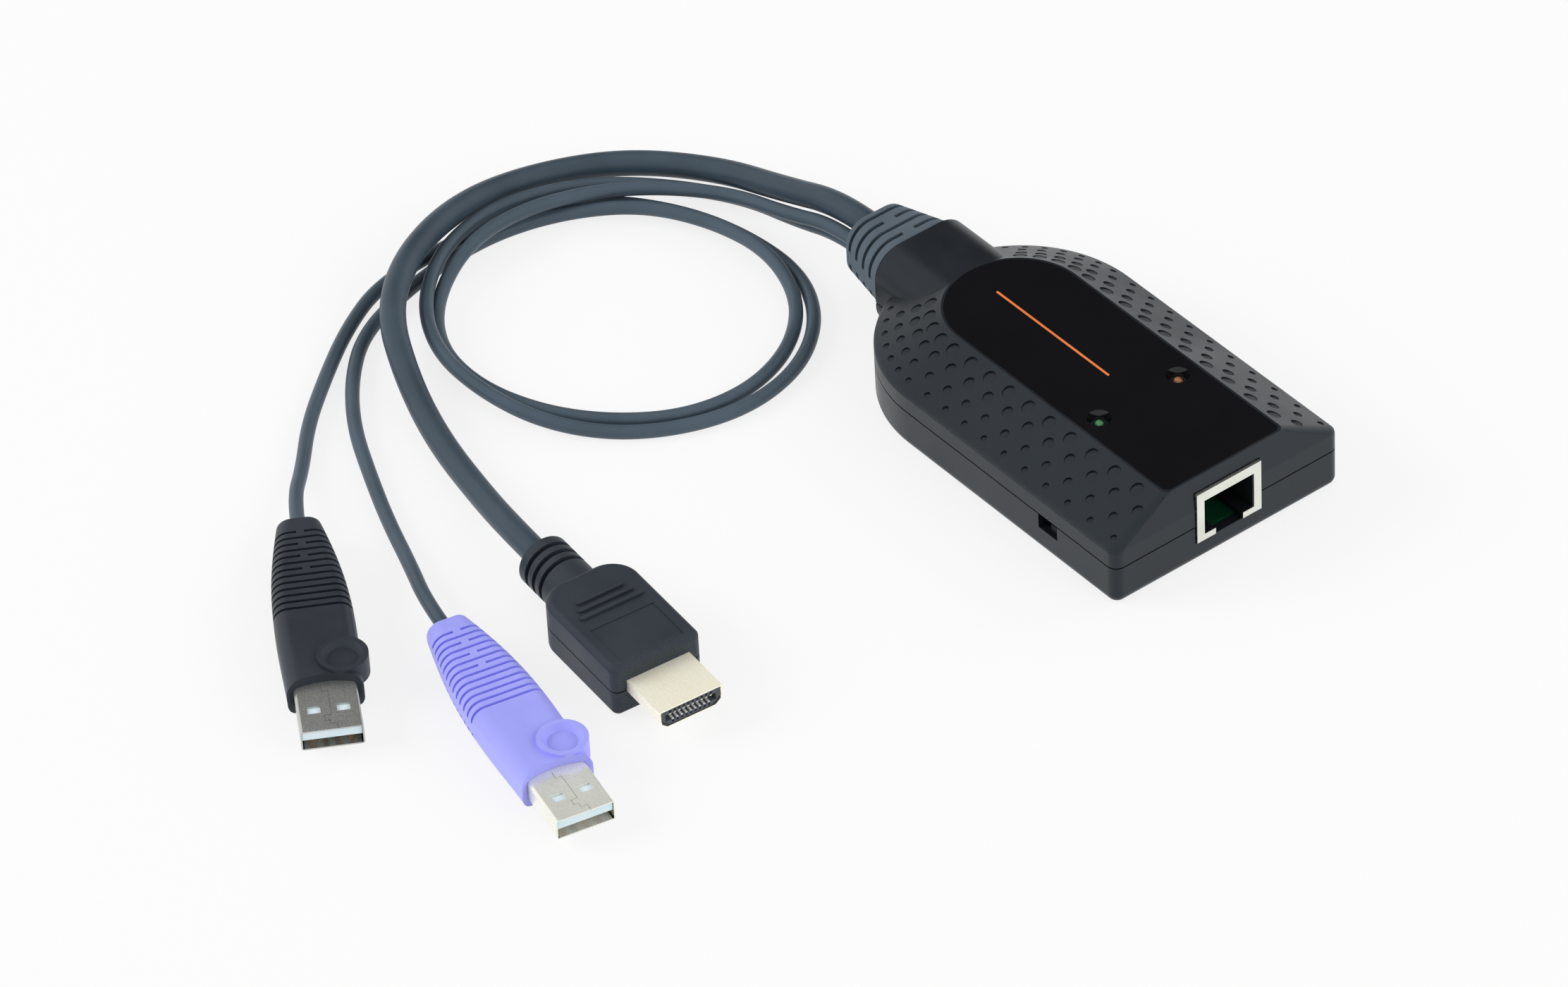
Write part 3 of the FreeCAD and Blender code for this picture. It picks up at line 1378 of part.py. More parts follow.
def usb_grip_loft(name, inset, ruled):
    """The grip's swelling form behind a bevelled tail, or its core under the slots."""
    body = new_body(name)
    full = S.usb_grip_thickness
    bevel = S.usb_tip_rounding
    stations = (
        (bevel, S.usb_grip_tip_width, S.usb_grip_tip_thickness),
        (S.usb_waist_station, S.usb_grip_waist_width, S.usb_grip_waist_thickness),
        (S.usb_middle_station, S.usb_grip_middle_width, full),
        (S.usb_wide_station, S.usb_grip_width, full),
        (S.usb_grip_length, S.usb_grip_front_width, full),
    )
    loft(body, [usb_section(body, *station, inset) for station in stations], ruled)
    tail_width = S.usb_grip_tip_width - bevel * 2
    tail_thickness = S.usb_grip_tip_thickness - bevel * 2
    loft(body, [usb_section(body, 0, tail_width, tail_thickness, inset),
                usb_section(body, *stations[0], inset)], True)
    return body


def usb_rectangle(sketch, half_width, half_height, corner):
    low, high = USB_MIDDLE - half_height, USB_MIDDLE + half_height
    return outline(sketch, [(-half_width, low, corner), (half_width, low, corner),
                            (half_width, high, corner), (-half_width, high, corner)])


def usb_slots():
    """Slots that let the grip's tail flex. Every second one of the first few has a
    bridge over its middle; all stop short of the middle of the sides."""
    across = S.usb_grip_width
    half_bridge = S.usb_relief_bridge / 2
    side = S.usb_relief_side_height
    slabs = []
    for number in range(USB_RELIEFS):
        x = S.usb_relief_first + S.usb_relief_pitch * number
        spans = ((-across, across),)
        if number in USB_BRIDGED:
            spans = ((-across, -half_bridge), (half_bridge, across))
        for low, high in spans:
            for bottom, top in ((-across, USB_MIDDLE - side), (USB_MIDDLE + side, across)):
                slabs.append(box("usb_slab", (x, low, bottom),
                                 (x + S.usb_relief_width, high, top)))
    core = usb_grip_loft("usb_core", S.usb_relief_depth, True)
    return cut("usb_slots", joined("usb_slabs", slabs), [core])


def make_usb_grip():
    """The moulded grip: slotted tail, thumb ring with its dish, pit for the shell."""
    crown = USB_MIDDLE + S.usb_grip_thickness / 2
    x = S.usb_grip_length - S.thumb_setback
    inner = S.thumb_diameter - S.thumb_ring_width * 2
    ring = rod("thumb_ring", (x, S.thumb_offset, USB_MIDDLE),
               crown + S.thumb_ring_height - USB_MIDDLE, S.thumb_diameter)
    dish = rod("thumb_dish", (x, S.thumb_offset, crown - S.thumb_dish_depth),
               S.thumb_dish_depth + S.thumb_ring_height, S.thumb_dome_diameter,
               end_diameter=inner)
    pit = new_body("usb_pit")
    gap = S.panel_gap
    pad(pit, usb_rectangle(sketch_on(pit, "YZ_Plane", S.usb_grip_length
                                     - S.usb_shell_hold),
                           S.usb_shell_width / 2 + gap, S.usb_shell_height / 2 + gap,
                           S.usb_shell_corner), S.usb_shell_hold + S.overrun)
    scoop_radius = S.usb_grip_width
    scoop = rod("usb_scoop", (S.usb_grip_length - S.usb_front_scoop + scoop_radius, 0, 0),
                USB_MIDDLE * 3, scoop_radius * 2)
    body = usb_grip_loft("usb_grip_body", as_size(0), False)
    return cut("usb_grip_solid", joined("usb_grip_blank", [body, ring]),
               [usb_slots(), dish, pit, scoop])


def make_usb_shell():
    """The folded shell with its four latch windows."""
    half_width, half_height = S.usb_shell_width / 2, S.usb_shell_height / 2
    wall = S.usb_shell_wall
    hold = S.usb_grip_length - S.usb_shell_hold
    tip = S.usb_grip_length + S.usb_shell_reach
    shell = new_body("usb_shell_sleeve")
    pad(shell, usb_rectangle(sketch_on(shell, "YZ_Plane", hold), half_width, half_height,
                             S.usb_shell_corner), tip - hold)
    pocket(shell, usb_rectangle(sketch_on(shell, "YZ_Plane", hold), half_width - wall,
                                half_height - wall, S.usb_shell_corner - wall),
           tip - hold, forward=True)
    windows = []
    x = tip - S.usb_window_setback
    half_length, half_span = S.usb_window_length / 2, S.usb_window_width / 2
    for side in (-1, 1):
        y = S.usb_window_spread / 2 * side
        windows.append(box("usb_window", (x - half_length, y - half_span, 0),
                           (x + half_length, y + half_span, USB_MIDDLE * 2)))
    return cut("usb_shell_solid", shell, windows + usb_seam())


def usb_seam():
    """The run of thin cuts through the upper wall where the folded sheet's ends meet."""
    half = S.usb_seam_width / 2
    cuts = []
    spots = [(S.usb_grip_length + S.usb_shell_reach * along, S.usb_shell_width * across)
             for along, across in USB_SEAM]
    for here, following in zip(spots, spots[1:]):
        low_x, high_x = sorted((here[0], following[0]), key=float)
        low_y, high_y = sorted((here[1], following[1]), key=float)
        cuts.append(box("usb_seam", (low_x - half, low_y - half, USB_MIDDLE),
                        (high_x + half, high_y + half, USB_MIDDLE * 2)))
    return cuts


def make_usb_tongue():
    """The plastic tongue under the shell's upper wall, thick where the shell is held,
    and the contacts on its underside."""
    wall = S.usb_shell_wall + S.panel_gap
    half_width = S.usb_shell_width / 2 - wall
    low = USB_MIDDLE - S.usb_shell_height / 2 + wall
    high = USB_MIDDLE + S.usb_shell_height / 2 - wall
    hold = S.usb_grip_length - S.usb_shell_hold
    end = S.usb_grip_length + S.usb_shell_reach - S.usb_tongue_setback
    under = high - S.usb_tongue_height
    tongue = joined("usb_tongue_solid", [
        box("usb_blade", (hold, -half_width, under), (end, half_width, high)),
        box("usb_root", (hold, -half_width, low), (S.usb_grip_length, half_width, high)),
    ])
    contacts = []
    half = S.usb_contact_width / 2
    tip = end - S.usb_tongue_setback
    for number in range(USB_CONTACTS):
        y = S.usb_contact_pitch * (number - (USB_CONTACTS - 1) / 2)
        contacts.append(box("usb_contact", (tip - S.usb_contact_length, y - half,
                                            under - S.usb_contact_thickness),
                            (tip, y + half, under)))
    return tongue, joined("usb_contacts_solid", contacts)


def make_usb_plugs():
    """Two plugs from the same tooling, one black and one purple."""
    grip = make_usb_grip()
    shell = make_usb_shell()
    tongue, contacts = make_usb_tongue()
    for colour in ("black", "purple"):
        for piece, solid in (("grip", grip), ("shell", shell), ("tongue", tongue),
                             ("contacts", contacts)):
            copy = doc.addObject("Part::Compound", f"{colour}_usb_{piece}")
            copy.Links = [solid]
            at_plug(copy.Name, copy, plug_place(colour))


# ---------------------------------------------------------------- build and export

def check_and_export():
    doc.recompute()
    for item in doc.Objects:
        if "Invalid" in item.State or "Error" in item.State:
            raise RuntimeError(f"{item.Label} failed: {item.State}")
    for item in nodes:
        if item.Shape.isNull() or not item.Shape.isValid() or not item.Shape.Solids:
            raise RuntimeError(f"{item.Label} has no valid shape")
    os.makedirs("parts", exist_ok=True)
    for item in nodes:
        item.Shape.exportStep(os.path.join("parts", f"{item.Label}.step"))
        box_now = item.Shape.BoundBox
        print(f"{item.Label}: {len(item.Shape.Solids)} solids, volume "
              f"{item.Shape.Volume:.1f}, x {box_now.XMin:.2f} {box_now.XMax:.2f}, "
              f"y {box_now.YMin:.2f} {box_now.YMax:.2f}, z {box_now.ZMin:.2f} "
              f"{box_now.ZMax:.2f}")


make_lower_case()
make_upper_cover()
make_top_panel()
make_lamps()
make_jack()
make_board()
make_chip()
make_transformer()
make_crystal()
make_headers()
make_screws()
make_switch()
make_boot()
make_cord("video_cable", S.video_exit_y, S.video_exit_height, VIDEO_LEAD, VIDEO_ROUTE,
          plug_place("video"), S.video_grip_thickness / 2, S.video_cable_diameter)
make_cord("purple_usb_cable", S.purple_exit_y, S.purple_exit_height, USB_LEAD,
          PURPLE_ROUTE, plug_place("purple"), USB_MIDDLE,
          S.usb_cable_diameter)
make_cord("black_usb_cable", S.black_exit_y, S.black_exit_height, USB_LEAD, BLACK_ROUTE,
          plug_place("black"), USB_MIDDLE, S.usb_cable_diameter)
make_video_plug()
make_usb_plugs()
check_and_export()
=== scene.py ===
import math

import bpy
from mathutils import Matrix, Vector


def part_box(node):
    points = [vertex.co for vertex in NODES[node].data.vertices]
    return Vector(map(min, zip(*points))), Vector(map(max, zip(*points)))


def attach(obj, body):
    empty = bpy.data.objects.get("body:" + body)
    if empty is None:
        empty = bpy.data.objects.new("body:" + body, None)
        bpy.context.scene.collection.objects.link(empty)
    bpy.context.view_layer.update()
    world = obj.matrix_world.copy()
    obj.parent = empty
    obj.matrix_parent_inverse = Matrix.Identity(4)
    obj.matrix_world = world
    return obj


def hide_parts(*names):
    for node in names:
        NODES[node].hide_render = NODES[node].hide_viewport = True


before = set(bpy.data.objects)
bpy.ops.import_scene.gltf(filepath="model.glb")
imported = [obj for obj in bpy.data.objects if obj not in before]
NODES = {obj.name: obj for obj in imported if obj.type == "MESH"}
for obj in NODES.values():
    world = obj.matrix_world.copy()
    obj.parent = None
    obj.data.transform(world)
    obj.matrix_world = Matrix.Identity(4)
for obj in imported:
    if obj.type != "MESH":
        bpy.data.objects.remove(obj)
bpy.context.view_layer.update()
MM = 0.001


# Each plug's cable entry, in millimetres, and its heading in degrees.
VIDEO_ENTRY, VIDEO_HEADING = (-23.0, -105.6, 5.8), -5.0
PURPLE_ENTRY, PURPLE_HEADING = (-20.8, -130.5, 4.25), -11.7
BLACK_ENTRY, BLACK_HEADING = (-63.1, -134.4, 4.25), -29.8


# ---------------------------------------------------------------- materials

# What a noise seldom falls below and rises above, and the colour sockets of a Mix node.
NOISE_LOW, NOISE_HIGH = 0.35, 0.65
MIX_FACTOR, MIX_FIRST, MIX_SECOND, MIX_RESULT = 0, 6, 7, 2


class Shader:
    """A Principled material whose texture nodes read object coordinates."""

    def __init__(self, name, color, roughness, metallic=0.0, specular=0.5, **sockets):
        self.material = bpy.data.materials.new(name)
        self.material.use_nodes = True
        self.tree = self.material.node_tree
        self.principled = self.tree.nodes["Principled BSDF"]
        self.set(self.principled, {"Base Color": (*color, 1.0), "Roughness": roughness,
                                   "Metallic": metallic, "Specular IOR Level": specular})
        self.set(self.principled, sockets)
        self.coordinates = self.tree.nodes.new("ShaderNodeTexCoord").outputs["Object"]
        self.normal = None
        self.tone = None

    @staticmethod
    def set(node, values):
        for socket, value in values.items():
            node.inputs[socket.replace("_", " ")].default_value = value

    def node(self, kind, values=None, **properties):
        node = self.tree.nodes.new(kind)
        for key, value in properties.items():
            setattr(node, key, value)
        self.set(node, values or {})
        return node

    def link(self, output, target):
        self.tree.links.new(output, target)

    def noise(self, scale, detail=4.0, stretch=None):
        """A noise whose scale is in cycles per metre."""
        noise = self.node("ShaderNodeTexNoise",
                          {"Scale": scale, "Detail": detail, "Roughness": 0.55})
        source = self.coordinates
        if stretch is not None:
            mapping = self.node("ShaderNodeMapping", {"Scale": stretch})
            self.link(source, mapping.inputs["Vector"])
            source = mapping.outputs["Vector"]
        self.link(source, noise.inputs["Vector"])
        return noise.outputs["Fac"]

    def spread(self, source, start, end):
        """The middle of a noise's range, stretched to run between two values."""
        spread = self.node("ShaderNodeMapRange", {
            "From_Min": NOISE_LOW, "From_Max": NOISE_HIGH, "To_Min": start, "To_Max": end})
        self.link(source, spread.inputs["Value"])
        return spread.outputs["Result"]

    def color_mix(self, factor):
        """A mix of two colours, which becomes the base colour: its two inputs."""
        mix = self.node("ShaderNodeMix", data_type="RGBA")
        self.link(factor, mix.inputs[MIX_FACTOR])
        self.link(mix.outputs[MIX_RESULT], self.principled.inputs["Base Color"])
        self.tone = mix.outputs[MIX_RESULT]
        return mix.inputs[MIX_FIRST], mix.inputs[MIX_SECOND]

    def color_between(self, source, first, second):
        """Colour that runs from one tone to another with a texture."""
        start, end = self.color_mix(self.spread(source, 0.0, 1.0))
        start.default_value = (*first, 1.0)
        end.default_value = (*second, 1.0)

    def paint(self, mask, color):
        """Another colour over what is there, where a mask is 1."""
        before = self.tone
        under, over = self.color_mix(mask)
        over.default_value = (*color, 1.0)
        self.link(before, under)

    def from_entry(self, entry, heading):
        """Distances along, across and above a plug's axis from its cable entry, in
        metres, as the outputs X, Y and Z."""
        mapping = self.node("ShaderNodeMapping", {
            "Location": [value * MM for value in entry],
            "Rotation": (0.0, 0.0, math.radians(heading)),
        }, vector_type="TEXTURE")
        self.link(self.coordinates, mapping.inputs["Vector"])
        split = self.node("ShaderNodeSeparateXYZ")
        self.link(mapping.outputs["Vector"], split.inputs["Vector"])
        return split.outputs

    def within(self, source, low, high):
        """1 where a source is between two values, else 0."""
        mask = self.node("ShaderNodeMath", operation="COMPARE")
        mask.inputs[1].default_value = (low + high) / 2
        mask.inputs[2].default_value = (high - low) / 2
        self.link(source, mask.inputs[0])
        return mask.outputs[0]

    def product(self, first, second):
        times = self.node("ShaderNodeMath", operation="MULTIPLY")
        self.link(first, times.inputs[0])
        self.link(second, times.inputs[1])
        return times.outputs[0]

    def roughness_between(self, source, first, second):
        self.link(self.spread(source, first, second), self.principled.inputs["Roughness"])

    def bump(self, source, depth):
        """Adds a relief of a depth in metres."""
        bump = self.node("ShaderNodeBump", {"Strength": 1.0, "Distance": depth})
        self.link(source, bump.inputs["Height"])
        if self.normal is not None:
            self.link(self.normal, bump.inputs["Normal"])
        self.normal = bump.outputs["Normal"]
        self.link(self.normal, self.principled.inputs["Normal"])


def srgb(red, green, blue):
    """Linear colour of an sRGB colour in 0 to 255."""
    values = []
    for value in (red, green, blue):
        value /= 255.0
        values.append(value / 12.92 if value <= 0.04045
                      else ((value + 0.055) / 1.055) ** 2.4)
    return tuple(values)


def plastic(name, first, second, roughness, grain, depth, specular=0.15, wear=0.05,
            sheen=(1.0, 1.0, 1.0)):
    """Moulded plastic: slow colour and gloss variation over a fine spark-eroded grain.

    The two colours are sRGB in 0 to 255, the grain is in cycles per metre, its depth in
    metres, wear is how far the roughness varies, and sheen tints the reflections."""
    shader = Shader(name, srgb(*first), roughness, specular=specular,
                    Specular_Tint=(*sheen, 1.0))
    slow = shader.noise(60.0, 3.0)
    shader.color_between(slow, srgb(*first), srgb(*second))
    shader.roughness_between(slow, roughness - wear, roughness + wear)
    shader.bump(shader.noise(grain, 2.0), depth)
    return shader


def metal(name, first, second, roughness, stretch, depth=0.000004, tone=160.0,
          metallic=1.0):
    """Plated sheet with faint rolling lines and uneven gloss.

    Stretch squeezes the lines' noise along each axis, depth is theirs in metres, and tone
    is the scale of the colour's variation in cycles per metre."""
    shader = Shader(name, srgb(*first), roughness, metallic=metallic)
    lines = shader.noise(900.0, 3.0, stretch=stretch)
    shader.color_between(shader.noise(tone), srgb(*first), srgb(*second))
    shader.roughness_between(lines, roughness - 0.08, roughness + 0.1)
    shader.bump(lines, depth)
    return shader


HOUSING = plastic("housing_plastic", (20, 23, 28), (25, 28, 33), 0.36, 5200.0, 0.00002,
                  specular=0.4, sheen=(0.76, 0.9, 1.0))
GLOSS = plastic("panel_gloss", (9, 9, 12), (12, 12, 16), 0.09, 700.0, 0.000003,
                specular=0.4, wear=0.02)
SOCKET = plastic("socket_plastic", (14, 15, 17), (22, 23, 26), 0.45, 4000.0, 0.00001)
SWITCH = plastic("switch_plastic", (16, 17, 19), (24, 25, 28), 0.4, 4000.0, 0.00001)
BOOT = plastic("boot_pvc", (80, 92, 102), (90, 102, 112), 0.55, 3800.0, 0.00002)
CORD = plastic("cord_pvc", (66, 80, 91), (76, 90, 102), 0.4, 2600.0, 0.00002,
               specular=0.3)
THICK_CORD = plastic("video_cord_pvc", (54, 67, 78), (63, 77, 88), 0.4, 2600.0, 0.00002,
                     specular=0.3)
BLACK = plastic("black_pvc", (40, 44, 51), (46, 50, 57), 0.46, 3600.0, 0.00003,
                specular=0.35, sheen=(0.8, 0.92, 1.0))
GRAINED = plastic("video_grip_pvc", (42, 47, 54), (48, 53, 60), 0.46, 3600.0, 0.00003,
                  specular=0.35, sheen=(0.8, 0.92, 1.0))
LAVENDER = plastic("lavender_pvc", (160, 162, 248), (168, 170, 252), 0.45, 3600.0,
                   0.00003, specular=0.35)
INSULATOR = plastic("plug_insulator", (74, 79, 84), (86, 91, 97), 0.5, 4000.0, 0.00001)
TONGUE = plastic("tongue_plastic", (212, 232, 239), (226, 241, 246), 0.4, 4000.0, 0.00001)
NYLON = plastic("header_nylon", (216, 212, 198), (228, 225, 212), 0.45, 3000.0, 0.00001)
RESIN = plastic("chip_resin", (20, 20, 22), (28, 28, 30), 0.6, 6000.0, 0.00002)
SHEATH = plastic("wire_sheath", (150, 36, 30), (172, 50, 42), 0.45, 3000.0, 0.00001)
INK = plastic("print_ink", (232, 120, 66), (240, 130, 74), 0.5, 9000.0, 0.000001)
BOARD = plastic("board_laminate", (8, 46, 29), (11, 58, 36), 0.35, 1500.0, 0.00001)
SHIELD = metal("shield_steel", (228, 230, 220), (240, 241, 232), 0.3, (1.0, 12.0, 1.0))
TIN = metal("tinned_steel", (204, 204, 198), (220, 220, 214), 0.3, (1.0, 12.0, 1.0))
NICKEL = metal("plug_nickel", (236, 236, 226), (246, 246, 238), 0.24, (1.0, 12.0, 12.0),
               depth=0.000001, tone=60.0, metallic=0.4)
# A darker copy of the plug nickel for the black plug's shell: painted shade, since its top
# reflects less light than the purple plug's.
SHADED_NICKEL = metal("shaded_nickel", (184, 184, 180), (200, 200, 196), 0.24,
                    (12.0, 2.0, 12.0), depth=0.000002, tone=60.0, metallic=0.8)
PALE_GOLD = metal("plug_tin", (253, 248, 224), (255, 251, 232), 0.24, (1.0, 6.0, 6.0),
                  depth=0.000001, metallic=0.15)
GOLD = metal("gold_plate", (176, 134, 70), (196, 152, 84), 0.32, (1.0, 8.0, 8.0))
BRIGHT = metal("contact_tin", (246, 246, 240), (252, 252, 248), 0.3, (1.0, 8.0, 8.0),
               metallic=0.3)
SCREW = metal("screw_steel", (70, 70, 74), (92, 92, 96), 0.4, (6.0, 6.0, 6.0))


def lens(name, first, second):
    """Clear tinted resin of an unlit lamp, with uneven colour."""
    shader = Shader(name, srgb(*first), 0.1, Coat_Weight=0.6, Coat_Roughness=0.04,
                    Transmission_Weight=0.1, IOR=1.5)
    shader.color_between(shader.noise(900.0), srgb(*first), srgb(*second))
    shader.bump(shader.noise(2500.0), 0.000005)
    return shader


GREEN_LENS = lens("green_lens", (30, 104, 60), (74, 170, 104))
AMBER_LENS = lens("amber_lens", (128, 74, 34), (206, 128, 66))


def grain_grip(finish, entry, heading, start, end):
    """A coarse grain round a grip between two distances from its cable entry."""
    along = finish.from_entry(entry, heading)["X"]
    band = finish.within(along, start * MM, end * MM)
    finish.bump(finish.product(band, finish.noise(2400.0, 1.0)), 0.22 * MM)


def paint_shade_inside(finish, entry, heading, half_width, half_height):
    """Painted shade inside a plug's shell, as far as two distances from its axis: a dark
    brown laid on where the inside lies in shadow and reflects the gold contacts."""
    place = finish.from_entry(entry, heading)
    across = finish.within(place["Y"], -half_width * MM, half_width * MM)
    upright = finish.within(place["Z"], -half_height * MM, half_height * MM)
    finish.paint(finish.product(across, upright), srgb(*INSIDE_SHADE))


# Half the width and half the height of the room inside each kind of shell, in millimetres,
# and the painted shade colour of its shadowed inside.
VIDEO_ROOM, USB_ROOM = (6.5, 1.9), (5.7, 1.95)
INSIDE_SHADE = (52, 47, 38)

grain_grip(GRAINED, VIDEO_ENTRY, VIDEO_HEADING, 38.2, 41.2)
# Painted shade inside the three plug shells.
paint_shade_inside(PALE_GOLD, VIDEO_ENTRY, VIDEO_HEADING, *VIDEO_ROOM)
paint_shade_inside(NICKEL, PURPLE_ENTRY, PURPLE_HEADING, *USB_ROOM)
paint_shade_inside(SHADED_NICKEL, BLACK_ENTRY, BLACK_HEADING, *USB_ROOM)

FINISHES = {
    "upper_cover": HOUSING, "lower_case": HOUSING, "top_panel": GLOSS,
    "link_led": GREEN_LENS, "power_led": AMBER_LENS, "led_leads": TIN,
    "jack_shield": SHIELD, "jack_insert": SOCKET, "jack_contacts": GOLD,
    "main_board": BOARD, "converter_chip": RESIN, "lan_transformer": RESIN,
    "crystal_can": TIN, "cord_headers": NYLON, "inner_wires": SHEATH,
    "housing_screws": SCREW, "switch_body": SWITCH, "switch_slider": SWITCH,
    "cable_boot": BOOT, "video_plug_grip": GRAINED, "video_plug_shell": PALE_GOLD,
    "video_plug_insert": INSULATOR, "video_plug_contacts": BRIGHT,
    "black_usb_grip": BLACK, "purple_usb_grip": LAVENDER,
    "black_usb_shell": SHADED_NICKEL, "purple_usb_shell": NICKEL,
    "black_usb_tongue": TONGUE, "purple_usb_tongue": TONGUE,
    "black_usb_contacts": GOLD, "purple_usb_contacts": GOLD,
}
for name, finish in FINISHES.items():
    mesh = NODES[name].data
    mesh.materials.clear()
    mesh.materials.append(finish.material)


# Moulded and folded edges that aren't razor sharp: width in millimetres and the
# steepest angle, in degrees, that still counts as flat.
EDGES = {
    "upper_cover": (0.16, 20.0), "lower_case": (0.16, 30.0), "top_panel": (0.08, 30.0),
    "jack_shield": (0.08, 40.0), "video_plug_shell": (0.1, 40.0),
    "black_usb_shell": (0.1, 40.0), "purple_usb_shell": (0.1, 40.0),
    "video_plug_grip": (0.12, 35.0), "black_usb_grip": (0.18, 35.0),
    "purple_usb_grip": (0.18, 35.0),
}
for name, (width, angle) in EDGES.items():
    rounding = NODES[name].modifiers.new("soft_edges", "BEVEL")
    rounding.width = width * MM
    rounding.segments = 2
    rounding.limit_method = "ANGLE"
    rounding.angle_limit = math.radians(angle)


# ---------------------------------------------------------------- pieces

def add_piece(name, data, finish):
    """A mesh or a curve as a piece that rides on the adapter."""
    piece = bpy.data.objects.new(name, data)
    bpy.context.scene.collection.objects.link(piece)
    data.materials.append(finish.material)
    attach(piece, "adapter")
    return piece


def make_rule():
    """The printed rule on the inlay, a thin bar with round ends along +X."""
    start, end, middle, half, thickness = (
        value * MM for value in (-14.9, 18.6, -0.25, 0.26, 0.02))
    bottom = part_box("top_panel")[1][2]
    top = bottom + thickness
    steps = 8
    rim = []
    for centre, first in ((end, -90.0), (start, 90.0)):
        for step in range(steps + 1):
            angle = math.radians(first + 180.0 * step / steps)
            rim.append((centre + half * math.cos(angle), middle + half * math.sin(angle)))
    count = len(rim)
    points = [(x, y, z) for z in (bottom, top) for x, y in rim]
    faces = [tuple(reversed(range(count))), tuple(range(count, 2 * count))]
    faces += [(i, (i + 1) % count, (i + 1) % count + count, i + count)
              for i in range(count)]
    mesh = bpy.data.meshes.new("panel_rule")
    mesh.from_pydata(points, [], faces)
    add_piece("panel_rule", mesh, INK)


make_rule()


# ---------------------------------------------------------------- cords

# The points that each cord passes between its two straight ends, in millimetres.
VIDEO_ROUTE = (
    (-81.0, -1.5, 7.3), (-98.5, -4.5, 3.6), (-114.0, -16.5, 2.9), (-122.0, -33.5, 3.2),
    (-120.5, -52.5, 7.0), (-113.5, -70.5, 8.6), (-102.0, -84.5, 7.8), (-85.5, -92.0, 4.2),
    (-68.0, -97.5, 2.7), (-48.5, -101.5, 3.4),
)
PURPLE_ROUTE = (
    (-74.5, -6.0, 7.3), (-89.0, -8.5, 4.9), (-101.0, -17.5, 4.3), (-108.5, -29.5, 5.0),
    (-112.0, -44.0, 5.8), (-110.5, -58.5, 6.0), (-104.0, -71.5, 2.6), (-92.5, -79.5, 1.5),
    (-78.0, -81.0, 1.5), (-63.5, -76.5, 1.5), (-52.0, -68.0, 1.5), (-43.5, -56.0, 1.5),
    (-41.5, -41.5, 1.5), (-46.5, -27.5, 1.5), (-57.0, -17.0, 1.9), (-71.0, -13.5, 3.8),
    (-85.5, -16.0, 3.8), (-98.5, -23.0, 3.8), (-108.5, -33.0, 2.0), (-113.5, -46.5, 1.5),
    (-113.5, -61.0, 1.5), (-110.5, -75.5, 1.5), (-105.0, -89.0, 1.5), (-95.0, -99.0, 1.5),
    (-83.0, -107.0, 1.5), (-69.5, -113.0, 1.5), (-56.0, -118.5, 1.5), (-42.0, -123.5, 2.4),
)
BLACK_ROUTE = (
    (-75.0, -3.0, 3.6), (-89.5, -5.0, 1.7), (-102.0, -13.0, 1.5), (-112.0, -23.5, 2.0),
    (-115.5, -37.0, 4.6), (-116.5, -51.5, 5.5), (-111.5, -65.5, 5.6), (-101.5, -76.5, 4.7),
    (-88.5, -82.5, 4.2), (-74.0, -83.0, 3.9), (-60.0, -79.0, 2.6), (-48.5, -70.0, 1.5),
    (-40.5, -57.5, 1.5), (-37.5, -43.5, 1.5), (-41.0, -29.0, 1.5), (-50.5, -17.5, 1.5),
    (-63.5, -11.5, 1.5), (-78.5, -12.0, 1.5), (-92.5, -16.0, 1.5), (-105.0, -24.0, 1.5),
    (-114.0, -34.5, 1.5), (-117.0, -49.0, 1.5), (-117.0, -63.5, 1.5), (-115.5, -78.0, 1.5),
    (-108.5, -90.5, 1.5), (-99.5, -102.0, 1.5), (-90.0, -113.0, 1.5), (-79.5, -122.0, 1.6),
)
# Plug, exit, length of the straight run at either end, route, cable entry, heading,
# diameter, length and finish.
CORDS = (
    ("video", (-54.0, 0.5, 12.2), 11.0, VIDEO_ROUTE, VIDEO_ENTRY, VIDEO_HEADING, 5.3, 222.3,
     THICK_CORD),
    ("purple_usb", (-54.0, -3.3, 10.0), 9.0, PURPLE_ROUTE, PURPLE_ENTRY, PURPLE_HEADING,
     2.9, 434.7, CORD),
    ("black_usb", (-54.0, -1.6, 6.6), 9.0, BLACK_ROUTE, BLACK_ENTRY, BLACK_HEADING,
     2.9, 432.1, CORD),
)


def make_cord(plug, exit_point, lead, route, entry, heading, diameter, length, finish):
    """A cord as one smooth spline from the strain relief into its plug."""
    turn = math.radians(heading)
    leaving = (exit_point[0] - lead, exit_point[1], exit_point[2])
    arriving = (entry[0] - lead * math.cos(turn), entry[1] - lead * math.sin(turn), entry[2])
    points = (exit_point, leaving, *route, arriving, entry)
    curve = bpy.data.curves.new(f"{plug}_cord", "CURVE")
    curve.dimensions = "3D"
    curve.bevel_depth = diameter / 2 * MM
    curve.bevel_resolution = 6
    curve.resolution_u = 10
    curve.use_fill_caps = True
    spline = curve.splines.new("NURBS")
    spline.points.add(len(points) - 1)
    for target, point in zip(spline.points, points):
        target.co = (point[0] * MM, point[1] * MM, point[2] * MM, 1.0)
    spline.order_u = 3
    spline.use_endpoint_u = True
    cord = add_piece(f"{plug}_cord", curve, finish)
    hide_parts(f"{plug}_cable")


for facts in CORDS:
    make_cord(*facts)


# ---------------------------------------------------------------- stage

# Soft boxes: name, place and size in metres, and power in watts. They all face one point.
SOFT_BOXES = (
    ("key", (-0.8, -1.1, 0.7), (0.9, 0.7), 12.0),
    ("fill", (1.1, 0.3, 0.6), (0.8, 0.8), 5.5),
    ("back", (0.2, 1.2, 0.6), (1.0, 0.5), 4.0),
)
LIT_POINT = (-0.03, -0.05, 0.0)
FLOOR_REACH = 6.0
FLOOR_GAP = 0.00002
# How much of the floor's brightness in the picture is plain white; the rest takes shadow.
FLOOR_SHARE = 0.8
# Strength of the diffuse light from the horizon and from overhead.
HORIZON_LIGHT, ZENITH_LIGHT = 0.85, 0.4
